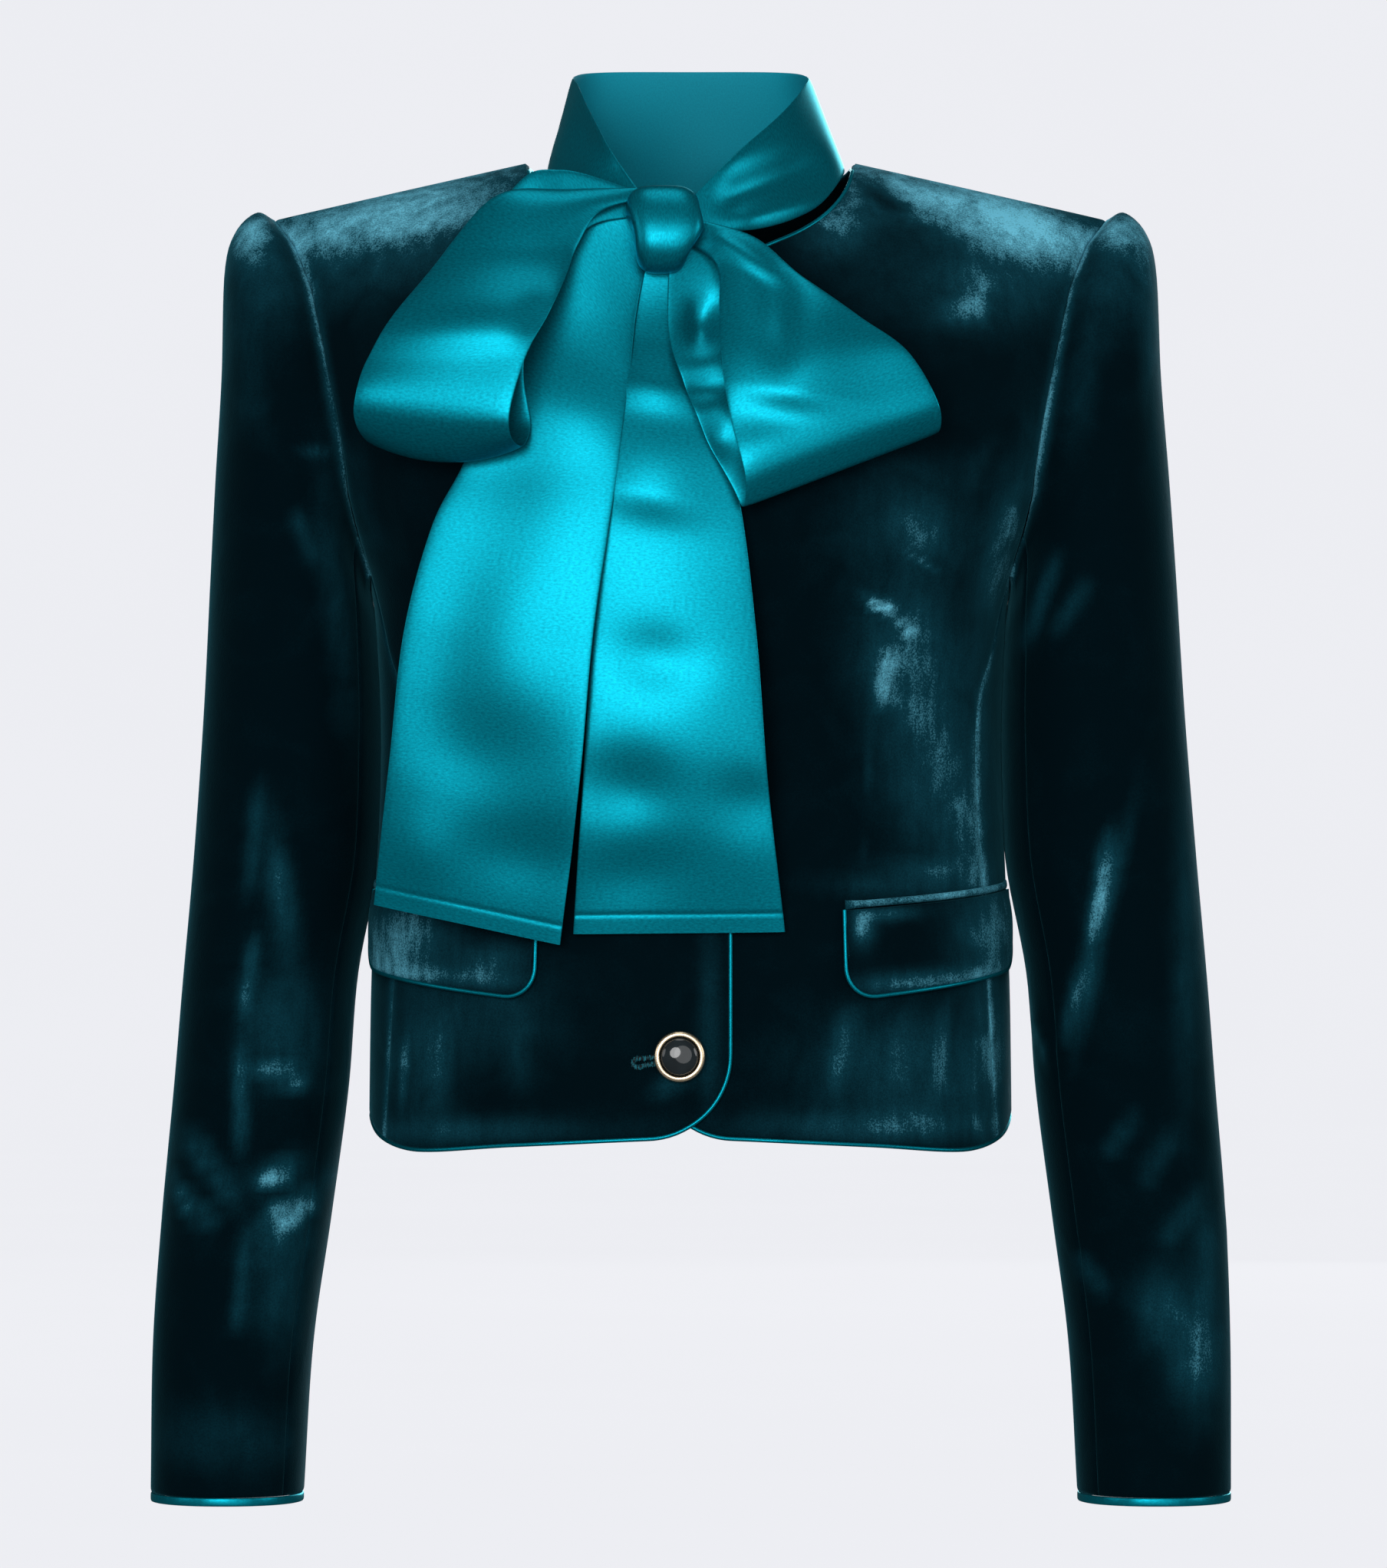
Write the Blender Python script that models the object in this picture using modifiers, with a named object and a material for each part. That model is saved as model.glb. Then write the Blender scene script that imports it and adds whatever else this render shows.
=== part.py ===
"""Cropped velvet jacket with a satin neck tie, filled out as if worn and hollow inside.

Each piece of cloth is an open surface that Solidify gives its thickness. Units are metres, +Z is up
and the front faces -Y. The origin is at the base of the neck, level with the neck ends of the
shoulder seams. Right and left in the names are the wearer's, so the right side is at -X.
"""

import math

import bmesh
import bpy
import numpy as np

MM = 0.001

# Cloth
VELVET_WALL = 2.0 * MM
SATIN_WALL = 1.2 * MM
SEAM_TRIM = 0.3 * MM  # each piece stops this far short of the line of a seam
TIGHT_TRIM = 0.6 * MM  # the same where the cloth bends sharply, so that the inner edges stay apart
PIPING_RADIUS = 1.0 * MM
PIPING_GAP = 0.35 * MM

# Body: sections are superellipses that close up into the ridge of the shoulder seams
SECTION_POWER = 2.4
SHOULDER_X = 198.0 * MM
NECK_X = 78.0 * MM
SHOULDER_FALL = 27.0 * MM
FRONT_NECK_DEPTH = 48.0 * MM
BACK_NECK_DEPTH = 14.0 * MM
ARMHOLE_CORNER_Z = -197.0 * MM
UNDERARM_DIP = 7.0 * MM
LAP = 18.0 * MM  # each front reaches this far past the centre
UNDERLAP_INSET = 2.7 * MM
UNDERLAP_FROM = 44.0 * MM
UNDERLAP_FULL = 26.0 * MM
CORNER_WIDTH = 37.0 * MM
CORNER_HEIGHT = 39.0 * MM
LOWER_ROWS = 10
UPPER_SHARES = (0.11, 0.25, 0.4, 0.55, 0.69, 0.81, 0.9, 0.96, 0.99, 1)  # close up towards the ridge
UPPER_ROWS = len(UPPER_SHARES)
FRONT_NECK_SHARE = (NECK_X + LAP) / (SHOULDER_X + LAP)
BACK_NECK_SHARE = NECK_X / SHOULDER_X
FRONT_INNER_COLUMNS = (0, 0.015, 0.045, 0.085, 0.13, 0.18, 0.25, 0.32, 0.385, FRONT_NECK_SHARE)
FRONT_COLUMNS = FRONT_INNER_COLUMNS + (0.54, 0.64, 0.74, 0.83, 0.92, 1)
BACK_COLUMNS = (0, 0.13, 0.26, BACK_NECK_SHARE, 0.52, 0.65, 0.78, 0.89, 1)
SIDE_COLUMNS = 6
EDGE_PASSES = 8  # rounds in which the height and the x of an edge settle together
HALVINGS = 34  # of the range in which a section is looked for

# Sleeves
SLEEVE_POWER = 2.2
ARMHOLE_BLEND_ROWS = 4.0
SLEEVE_SEAM = 1  # places up from the armhole's corners
SLEEVE_STEPS = (0, 1, 2, 3, 3.5, 4, 4.6, 5.3, 6, 7, 8, 8.6, 9.2, 10, 10.6, 11.2, 12, 13)
CUFF_DROP = 4.0 * MM
CUFF_WALL = 1.5 * MM

# Pocket flaps
FLAP_FRONT_X = 72.0 * MM
FLAP_BACK_ANGLE = math.radians(80)
FLAP_TOP_FRONT_Z = -354.0 * MM
FLAP_TOP_BACK_Z = -345.0 * MM
FLAP_DEPTH_FRONT = 41.0 * MM
FLAP_DEPTH_BACK = 36.0 * MM
FLAP_CORNER = 14.0 * MM
FLAP_OUT = 2.5 * MM
FLAP_FLARE = 1.5 * MM
WELT_HEIGHT = 4.5 * MM
FLAP_ROWS = 5
FLAP_COLUMNS = (0, 0.02, 0.06, 0.12, 0.25, 0.4, 0.55, 0.7, 0.82, 0.91, 0.97, 1)

# Button
BUTTON_X = -5.0 * MM
BUTTON_Z = -422.0 * MM
RING_OUTER = 11.9 * MM
RING_INNER = 8.0 * MM
RING_HEIGHT = 4.0 * MM
STONE_HEIGHT = 6.0 * MM
BUTTON_STANDOFF = 0.9 * MM
BUTTON_STEPS = 24

# Neck tie
KNOT_CENTRE = (-10.5 * MM, -97.0 * MM, -38.0 * MM)
KNOT_HALF = (17.0 * MM, 11.0 * MM, 19.5 * MM)
KNOT_POWER = 3.4
KNOT_AROUND = 20
KNOT_UP = 12
RIBBON_COLUMNS = 7


def table(names, rows):
    """The columns of a table in millimetres, by name, as arrays in metres."""
    return dict(zip(names.split(), np.array(rows, float).T * MM))


# One row for each section of the body, hem to shoulder ridge. The drop is how far the section falls
# from the centre to the shoulder point.
TORSO = table(
    "height drop half_width front back",
    (
        (-490, 0, 153.0, 105, 99),
        (-400, 0, 152.0, 104, 97),
        (-345, 0, 150.0, 102, 93),
        (-285, 0, 147.8, 100, 87),
        (-235, 0, 149.0, 108, 91),
        (-203, 0, 152.0, 113, 96),
        (-165, 2, 166.0, 116, 100),
        (-115, 8, 184.0, 107, 101),
        (-60, 20, 195.0, 83, 94),
        (-20, 32, 200.0, 59, 72),
        (5, 40, 201.0, 34, 42),
        (15.5, 43.6, 201.0, 13, 16),
        (17.55, 44.55, 201.0, 0, 0),
    ),
)

# The front panel's outer edge: the armhole down to the underarm, then the seam to the side panel
FRONT_OUTER = table(
    "height x",
    (
        (-490, 146),
        (-340, 138),
        (-285, 134.5),
        (-254, 136),
        (-235, 142),
        (-203, 149.5),
        (-165, 160),
        (-142, 163.5),
        (-100, 171),
        (-61, 179.5),
        (-40, 188),
        (-27, 198),
    ),
)
BACK_OUTER = table(
    "height x",
    (
        (-490, 144),
        (-340, 137),
        (-285, 133),
        (-235, 140.5),
        (-203, 149.5),
        (-165, 158.5),
        (-142, 164),
        (-100, 174),
        (-61, 182.5),
        (-40, 189.5),
        (-27, 198),
    ),
)

# The hem's height round the body, by degrees from the centre front
HEM_DEGREES = (0, 30, 55, 72, 90, 125, 180)
HEM_HEIGHTS = np.array((-459, -463, -466, -461, -451, -453, -458)) * MM

# One row for each section of a sleeve, armhole to cuff: its outer and inner ends, seen from the front,
# and the middle and half of its depth
SLEEVE = table(
    "outer_x outer_z inner_x inner_z middle_y depth",
    (
        (198.0, -27, 153.4, -204, -2, 56),
        (207.5, -23.5, 154.2, -206, -2, 58),
        (219.0, -33, 154.6, -209, -2, 59),
        (224.0, -52, 154.4, -213, -2, 60),
        (225.2, -100, 153.8, -220, -3, 61),
        (228.2, -150, 153.2, -229, -3, 61),
        (230.6, -200, 152.6, -241, -4, 60),
        (233.0, -262, 151.4, -272, -4, 58),
        (238.0, -330, 152.2, -330, -6, 55),
        (243.0, -388, 159.4, -385, -9, 53),
        (247.0, -440, 163.0, -440, -13, 51),
        (252.0, -500, 170.8, -500, -17, 49),
        (255.0, -560, 178.8, -560, -21, 46),
        (255.5, -630, 183.0, -630, -24, 44),
    ),
)

# The largest creases of a sleeve: place by section number and by degrees round it from its outer side
# towards its front, depth, and reach along and around
SLEEVE_CREASES = (
    # section, degrees, depth mm, reach in sections, reach in degrees
    (8.9, 55, 2.6, 0.9, 16),
    (10.2, 75, 3.0, 0.28, 34),
    (10.8, 95, 2.6, 0.24, 30),
    (9.6, 112, 2.4, 0.25, 28),
    (10.4, -70, 2.4, 0.30, 36),
)

# Ribbons of the tie: the two edges of each section, and how far its middle stands out between them
RIBBON_NAMES = "a_x a_y a_z b_x b_y b_z crown"
LOOP_RIGHT = table(
    RIBBON_NAMES,
    (
        (-28.0, -101, -20, -28.0, -101, -31, 0),
        (-62.0, -107, -11, -42.0, -110, -31, 3),
        (-90.0, -112, -22, -51.0, -118, -45, 4),
        (-110, -115, -43, -57.5, -124, -59, 5),
        (-129.5, -117, -73.5, -66.0, -129, -80, 4),
        (-145.5, -118, -99.5, -74.0, -132, -98, 2),
        (-153.5, -118, -119, -81.5, -133, -127, 0),
        (-151.0, -110, -138, -77.5, -126, -144, 0),
        (-147.0, -102, -124, -77.0, -119, -131, 0),
        (-122.0, -102, -85, -70.0, -114, -92, 0),
        (-88.0, -103, -45, -55.0, -109, -60, 0),
        (-28.0, -98, -22, -28.0, -98, -31, 0),
    ),
)
LOOP_LEFT = table(
    RIBBON_NAMES,
    (
        (7.0, -100, -45, 7.0, -100, -31, 0),
        (12.0, -108, -54, 30.0, -105, -41, 2),
        (13.5, -117, -75, 53.0, -111, -61, 3),
        (14.5, -124, -99.5, 78.0, -115, -79, 3),
        (18.5, -131, -126, 100.5, -116, -95, 2),
        (25.0, -136, -153, 114.5, -115, -119, 0),
        (24.5, -130, -167, 115.0, -107, -132, 0),
        (19.0, -124, -157, 108.0, -100, -121, 0),
        (7.5, -120, -135, 85.0, -101, -97, 0),
        (-2.0, -117, -111, 55.0, -101, -75, 0),
        (-10.0, -109, -86, 30.0, -99, -60, 0),
        (-7.0, -104, -59.4, 5.0, -98, -58.6, 0),
    ),
)
TAIL_RIGHT = table(
    RIBBON_NAMES,
    (
        (-28.2, -94, -35, -27.2, -94, -50, 0),
        (-52.0, -97.5, -50, -25.0, -103, -76, 1),
        (-75.0, -103, -80, -28.0, -111, -105, 1),
        (-92.0, -109, -115, -31.5, -118, -130, 1),
        (-106, -111, -148, -34.0, -122, -152, 0),
        (-120, -112, -176, -38.5, -125, -182, 0),
        (-133, -111, -225, -45.0, -127, -228, 0),
        (-140, -108, -285, -51.0, -126, -292, 0),
        (-147.5, -105, -351.5, -60.5, -123, -370, 0),
    ),
)
TAIL_LEFT = table(
    RIBBON_NAMES,
    (
        (-21.0, -95, -58.2, -9.0, -95, -58.2, 0),
        (-28.0, -101, -85, 4.0, -102, -90, 0),
        (-34.0, -112, -120, 13.0, -114, -128, 0),
        (-40.0, -119, -165, 23.5, -120, -168, 0),
        (-45.0, -120, -225, 31.0, -121, -230, 1),
        (-50.0, -119, -295, 36.0, -120, -295, 1),
        (-54.5, -117, -365, 44.0, -118, -364, 0),
    ),
)
# The band round the neck, from the knot's left side round the back to its right side: upper edge a,
# lower edge b
NECK_BAND = table(
    RIBBON_NAMES,
    (
        (7.0, -92, -24, 7.0, -92, -40, 0),
        (20.0, -84, -2, 31.0, -86, -36.5, 0),
        (42.0, -56, 19, 57.0, -62, -26, 0),
        (54.0, -22, 35, 70.0, -30, -9, 0),
        (55.0, 8, 42, 65.0, 8, -4, 0),
        (41.0, 37, 46, 47.5, 37, -12, 0),
        (0.0, 48, 47, 0.0, 63.4, -18, 0),
        (-41.0, 37, 46, -47.5, 37, -12, 0),
        (-55.0, 8, 42, -65.0, 8, -4, 0),
        (-53.0, -22, 35, -67.0, -30, -9, 0),
        (-47.0, -54, 20, -58.0, -62, -24, 0),
        (-38.0, -80, 1, -45.0, -84, -32, 0),
        (-28.0, -90, -22, -28.0, -90, -36, 0),
    ),
)


def smooth(values, place):
    """A Catmull-Rom curve through a table's column, read at fractional row numbers."""
    place = np.clip(np.asarray(place, float), 0, len(values) - 1)
    row = np.minimum(place.astype(int), len(values) - 2)
    part = place - row
    ends = (2 * values[:1] - values[1:2], values, 2 * values[-1:] - values[-2:-1])
    before, start, end, after = (np.concatenate(ends)[row + step] for step in range(4))
    curve = 3 * (start - end) + after - before
    curve = 2 * before - 5 * start + 4 * end - after + part * curve
    return start + 0.5 * part * (end - before + part * curve)


def along(line, height):
    """The x of an outer edge at a height."""
    place = np.interp(height, line["height"], np.arange(len(line["height"])))
    return smooth(line["x"], place)


def torso_level(z, spread):
    """The row number of the body section that passes height z, at the x that spread gives for it."""
    low = np.zeros(np.shape(z))
    high = low + len(TORSO["height"]) - 1
    for _ in range(HALVINGS):
        level = (low + high) / 2
        height = smooth(TORSO["height"], level) - smooth(TORSO["drop"], level) * spread(level) / SHOULDER_X
        low = np.where(height < z, level, low)
        high = np.where(height < z, high, level)
    return (low + high) / 2


def torso_angle(x, z):
    """The angle from the centre front at which the body's front has this x and z."""
    level = torso_level(z, lambda level: np.abs(x))
    share = np.clip(np.abs(x) / smooth(TORSO["half_width"], level), 0, 1)
    return np.arcsin(share ** (SECTION_POWER / 2)) * np.sign(x)


def torso(angle, z):
    """Points of the body's outer surface: 0 is the centre front, a right angle the wearer's left side."""
    across = np.abs(np.sin(angle)) ** (2 / SECTION_POWER)
    through = np.abs(np.cos(angle)) ** (2 / SECTION_POWER)
    level = torso_level(z, lambda level: across * smooth(TORSO["half_width"], level))
    x = np.sign(np.sin(angle)) * across * smooth(TORSO["half_width"], level)
    depth = np.where(np.cos(angle) > 0, -smooth(TORSO["front"], level), smooth(TORSO["back"], level))
    return np.stack([x, depth * through, z], axis=-1)


def torso_normal(angle, z):
    """Outward unit normals of the body's surface."""
    step = 0.5 * MM
    turn = step / TORSO["half_width"][0]
    around = torso(angle + turn, z) - torso(angle - turn, z)
    upward = torso(angle, z + step) - torso(angle, z - step)
    normal = np.cross(around, upward)
    return normal / np.linalg.norm(normal, axis=-1, keepdims=True)


def moved_out(angle, z, distance):
    """Points of the body's surface moved out along its normals."""
    return torso(angle, z) + torso_normal(angle, z) * np.asarray(distance)[..., None]


def hem(angle):
    return np.interp(np.degrees(np.abs(angle)), HEM_DEGREES, HEM_HEIGHTS)


def top_line(x, neck_depth):
    """The height of the neckline, and past it of the shoulder seam, at a distance x from the centre."""
    x = np.abs(x)
    neckline = -neck_depth * np.sqrt(np.clip(1 - (x / NECK_X) ** 2, 0, 1))
    shoulder = -SHOULDER_FALL * (x - NECK_X) / (SHOULDER_X - NECK_X)
    return np.where(x < NECK_X, neckline, shoulder)


def rows_between(bottom, corner, top):
    """Heights of a panel's rows: from the hem to the armhole's corner, then to the top edge."""
    lower = np.linspace(0, 1, LOWER_ROWS + 1)[:, None]
    upper = np.array(UPPER_SHARES)[:, None]
    return np.concatenate([bottom + (corner - bottom) * lower, corner + (top - corner) * upper])


def front_places():
    """Angles and heights of the left front's grid, from its front edge to its outer edge."""
    share = np.array(FRONT_COLUMNS)

    def across(z):
        return -LAP + (along(FRONT_OUTER, z) + LAP) * share

    top = np.zeros(len(share))
    bottom = top + HEM_HEIGHTS[0]
    for _ in range(EDGE_PASSES):
        top = top_line(across(top), FRONT_NECK_DEPTH)
        x = across(bottom)
        inside = np.clip(1 - (x + LAP) / CORNER_WIDTH, 0, 1)
        bottom = hem(torso_angle(x, bottom)) + CORNER_HEIGHT * (1 - np.sqrt(1 - inside**2))
    z = rows_between(bottom, ARMHOLE_CORNER_Z, top)
    return torso_angle(across(z), z), z


def back_places():
    """Angles and heights of the back's grid, from the wearer's left side to their right."""
    half = np.array(BACK_COLUMNS)
    share = np.concatenate([half[::-1], -half[1:]])
    top = np.zeros(len(share))
    bottom = top + HEM_HEIGHTS[-1]
    for _ in range(EDGE_PASSES):
        top = top_line(along(BACK_OUTER, top) * share, BACK_NECK_DEPTH)
        bottom = hem(math.pi - np.abs(torso_angle(along(BACK_OUTER, bottom) * share, bottom)))
    z = rows_between(bottom, ARMHOLE_CORNER_Z, top)
    return math.pi - torso_angle(along(BACK_OUTER, z) * share, z), z


def side_places():
    """Angles and heights of the left side panel's grid, front to back, hem to underarm."""
    share = np.linspace(0, 1, SIDE_COLUMNS)
    up = np.linspace(0, 1, LOWER_ROWS + 1)[:, None]
    top = ARMHOLE_CORNER_Z - UNDERARM_DIP * (1 - (2 * share - 1) ** 2)
    z = HEM_HEIGHTS[0] + (top - HEM_HEIGHTS[0]) * up
    for _ in range(EDGE_PASSES):
        front = torso_angle(along(FRONT_OUTER, z), z)
        angle = front + (math.pi - torso_angle(along(BACK_OUTER, z), z) - front) * share
        bottom = hem(angle[0])
        z = bottom + (top - bottom) * up
    return angle, z


def underlap(x):
    """How far the left front is set in, so that it passes under the right one."""
    part = np.clip((UNDERLAP_FROM - x) / (UNDERLAP_FROM - UNDERLAP_FULL), 0, 1)
    return UNDERLAP_INSET * part * part * (3 - 2 * part)


def mirrored(grid):
    """The grid on the wearer's other side, with its faces still outward."""
    return grid[::-1] * (-1, 1, 1)


def armhole():
    """The left armhole's edge as one loop: up the front, down the back and under the arm."""
    front = torso(*front_places())[LOWER_ROWS:, -1]
    back = torso(*back_places())[LOWER_ROWS:, 0]
    under = torso(*side_places())[-1]
    return np.concatenate([front, back[-2::-1], under[-2:0:-1]])


def sleeve_frame(section):
    """The middle, the half way to the outer end, the middle depth and the half depth of sections."""
    outer = np.stack([smooth(SLEEVE["outer_x"], section), smooth(SLEEVE["outer_z"], section)], axis=-1)
    inner = np.stack([smooth(SLEEVE["inner_x"], section), smooth(SLEEVE["inner_z"], section)], axis=-1)
    middle_y = smooth(SLEEVE["middle_y"], section)
    depth = smooth(SLEEVE["depth"], section)
    return (outer + inner) / 2, (outer - inner) / 2, middle_y, depth


def signed_power(values, power):
    return np.sign(values) * np.abs(values) ** power


def sleeve_rings(section, turn):
    """Rings of the left sleeve before it is joined to the armhole: turn 0 is outward, a right angle front."""
    middle, half, middle_y, depth = sleeve_frame(np.asarray(section, float))
    reach = signed_power(np.cos(turn), 2 / SLEEVE_POWER)
    xz = middle[:, None, :] + half[:, None, :] * reach[None, :, None]
    y = middle_y[:, None] - depth[:, None] * signed_power(np.sin(turn), 2 / SLEEVE_POWER)[None, :]
    return np.stack([xz[..., 0], y, xz[..., 1]], axis=-1)


def sleeve_turns(loop):
    """The turn of each of the armhole's points about the sleeve's first section."""
    middle, half, middle_y, depth = sleeve_frame(np.zeros(1))
    reach = ((loop[:, [0, 2]] - middle) * half).sum(axis=1) / (half**2).sum()
    side = (middle_y - loop[:, 1]) / depth
    return np.arctan2(signed_power(side, SLEEVE_POWER / 2), signed_power(reach, SLEEVE_POWER / 2))


def sleeve_creased(points, section, turn):
    """The rings with the largest creases pressed in towards the sleeve's middle line."""
    middle, _, middle_y, _ = sleeve_frame(np.asarray(section, float))
    axis = np.stack([middle[:, 0], middle_y, middle[:, 1]], axis=-1)[:, None, :]
    inward = (axis - points) * (1, 1, 0)
    inward /= np.linalg.norm(inward, axis=-1, keepdims=True)
    depth = np.zeros(points.shape[:2])
    for at, degrees, deep, reach, spread in SLEEVE_CREASES:
        apart = (np.degrees(turn)[None, :] - degrees + 180) % 360 - 180
        near = ((np.asarray(section)[:, None] - at) / reach) ** 2 + (apart / spread) ** 2
        depth += deep * MM * np.exp(-near)
    return points + inward * depth[..., None]


def sleeve_grid():
    """The whole left sleeve: rings down it, columns round it in the armhole's order."""
    loop = armhole() + np.array((SEAM_TRIM, 0, 0))
    turn = sleeve_turns(loop)
    section = np.array(SLEEVE_STEPS, float)
    weight = np.clip(1 - section / ARMHOLE_BLEND_ROWS, 0, 1) ** 2
    rings = sleeve_rings(section, turn)
    rings += weight[:, None, None] * (loop - rings[0])[None]
    return sleeve_creased(rings, section, turn)


def trimmed(grid, edges, trim=SEAM_TRIM):
    """A copy of the grid with the named edges pulled in by the seam trim."""
    grid = grid.copy()
    pairs = {
        "bottom": (grid[0], grid[1]),
        "top": (grid[-1], grid[-2]),
        "start": (grid[:, 0], grid[:, 1]),
        "end": (grid[:, -1], grid[:, -2]),
    }
    for name in edges.split():
        edge, inner = pairs[name]
        step = inner - edge
        edge += step * (trim / np.linalg.norm(step, axis=-1, keepdims=True))
    return grid


def ribbon_grid(ribbon, steps):
    """A ribbon through a table's sections: rows along it, columns from its edge a to its edge b."""
    place = np.linspace(0, len(ribbon["a_x"]) - 1, steps)
    edge_a = np.stack([smooth(ribbon[name], place) for name in ("a_x", "a_y", "a_z")], axis=-1)
    edge_b = np.stack([smooth(ribbon[name], place) for name in ("b_x", "b_y", "b_z")], axis=-1)
    across = np.linspace(0, 1, RIBBON_COLUMNS)[None, :, None]
    grid = edge_a[:, None] + (edge_b - edge_a)[:, None] * across
    grid[..., 1] -= smooth(ribbon["crown"], place)[:, None] * 4 * (across * (1 - across))[..., 0]
    return grid


def edge_path(points, normals, depth):
    """A line just outside a panel's edge and half way through its wall, for piping sewn into the edge."""
    run = np.gradient(points, axis=0)
    outward = np.cross(run, normals)
    outward /= np.linalg.norm(outward, axis=-1, keepdims=True)
    return points + outward * (PIPING_RADIUS + PIPING_GAP) - normals * depth


def shortened(path, start, end):
    """The path with a length cut off each end."""
    path = path.copy()
    for first, second, length in ((0, 1, start), (-1, -2, end)):
        step = path[second] - path[first]
        path[first] += step * min(length / np.linalg.norm(step), 0.8)
    return path


def material(name, colour, roughness, metallic=0.0):
    """A Principled material from a hex colour."""
    made = bpy.data.materials.new(name)
    made.use_nodes = True
    shader = made.node_tree.nodes["Principled BSDF"]
    channels = [int(colour[start : start + 2], 16) / 255 for start in (0, 2, 4)]
    linear = [c / 12.92 if c <= 0.04045 else ((c + 0.055) / 1.055) ** 2.4 for c in channels]
    shader.inputs["Base Color"].default_value = (*linear, 1)
    shader.inputs["Roughness"].default_value = roughness
    shader.inputs["Metallic"].default_value = metallic
    made.diffuse_color = (*linear, 1)
    return made


def add_object(collection, name, data, look):
    data.materials.append(look)
    made = bpy.data.objects.new(name, data)
    collection.objects.link(made)
    return made


def cloth(collection, name, grid, look, wall, offset=-1.0, ring=False):
    """A sheet of cloth over a grid of points, given its thickness by Solidify."""
    rows, columns = grid.shape[:2]
    mesh = bpy.data.meshes.new(name)
    shape = bmesh.new()
    bmesh.ops.create_grid(shape, x_segments=columns - 1, y_segments=rows - 1, size=1)
    for vertex in shape.verts:
        column = round((vertex.co.x + 1) / 2 * (columns - 1))
        row = round((vertex.co.y + 1) / 2 * (rows - 1))
        vertex.co = grid[row, column]
    if ring:
        bmesh.ops.remove_doubles(shape, verts=shape.verts, dist=0.01 * MM)
    shape.to_mesh(mesh)
    shape.free()
    mesh.shade_smooth()
    made = add_object(collection, name, mesh, look)
    solidify = made.modifiers.new("Wall", "SOLIDIFY")
    solidify.thickness = wall
    solidify.offset = offset
    solidify.use_even_offset = True
    return made


def piping(collection, name, path, look):
    """A round cord along a path."""
    curve = bpy.data.curves.new(name, "CURVE")
    curve.dimensions = "3D"
    curve.bevel_depth = PIPING_RADIUS
    curve.bevel_resolution = 1
    curve.use_fill_caps = True
    spline = curve.splines.new("POLY")
    spline.points.add(len(path) - 1)
    for point, place in zip(spline.points, path):
        point.co = (*place, 1)
    return add_object(collection, name, curve, look)


def make_body(collection, velvet):
    """The two fronts, the side panels and the back."""
    angle, z = front_places()
    plain = torso(angle, z)
    inset = plain - torso_normal(angle, z) * underlap(plain[..., 0])[..., None]
    cloth(collection, "front_left", trimmed(trimmed(inset, "end"), "top", TIGHT_TRIM), velvet, VELVET_WALL)
    lap = trimmed(trimmed(plain, "end"), "top", TIGHT_TRIM)
    cloth(collection, "front_right", mirrored(lap), velvet, VELVET_WALL)
    side = trimmed(torso(*side_places()), "top start end")
    cloth(collection, "side_left", side, velvet, VELVET_WALL)
    cloth(collection, "side_right", mirrored(side), velvet, VELVET_WALL)
    back = trimmed(trimmed(torso(*back_places()), "start end"), "top", TIGHT_TRIM)
    cloth(collection, "back", back, velvet, VELVET_WALL)


def make_sleeves(collection, velvet, satin):
    """Each sleeve in two pieces, with a satin edge below its cuff."""
    whole = sleeve_grid()[::-1]
    top_end = 2 * UPPER_ROWS - SLEEVE_SEAM
    top = whole[:, SLEEVE_SEAM : top_end + 1]
    under = np.concatenate([whole[:, top_end:], whole[:, : SLEEVE_SEAM + 1]], axis=1)
    ring = np.concatenate([whole[0], whole[0, :1]])
    drop = np.array((0, 0, CUFF_DROP))
    gap = np.array((0, 0, SEAM_TRIM))
    cuff = np.stack([ring - drop, ring - gap])
    top = trimmed(trimmed(top, "top"), "start end", TIGHT_TRIM)
    under = trimmed(trimmed(under, "top"), "start end", TIGHT_TRIM)
    for side, turned in (("left", lambda grid: grid), ("right", mirrored)):
        cloth(collection, f"sleeve_{side}_top", turned(top), velvet, VELVET_WALL)
        cloth(collection, f"sleeve_{side}_under", turned(under), velvet, VELVET_WALL)
        cloth(collection, f"cuff_{side}", turned(cuff), satin, CUFF_WALL, ring=True)


def flap_places(columns):
    """Angles, top and bottom heights of the left flap at shares of its length."""
    share = np.array(columns, float)
    top = FLAP_TOP_FRONT_Z + (FLAP_TOP_BACK_Z - FLAP_TOP_FRONT_Z) * share
    start = torso_angle(FLAP_FRONT_X, np.array(FLAP_TOP_FRONT_Z))
    angle = start + (FLAP_BACK_ANGLE - start) * share
    run = np.linalg.norm(np.diff(torso(angle, top), axis=0), axis=1)
    length = np.concatenate([[0], np.cumsum(run)])
    inside = np.clip(1 - np.minimum(length, length[-1] - length) / FLAP_CORNER, 0, 1)
    depth = FLAP_DEPTH_FRONT + (FLAP_DEPTH_BACK - FLAP_DEPTH_FRONT) * share
    return angle, top, top - depth + FLAP_CORNER * (1 - np.sqrt(1 - inside**2))


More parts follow.
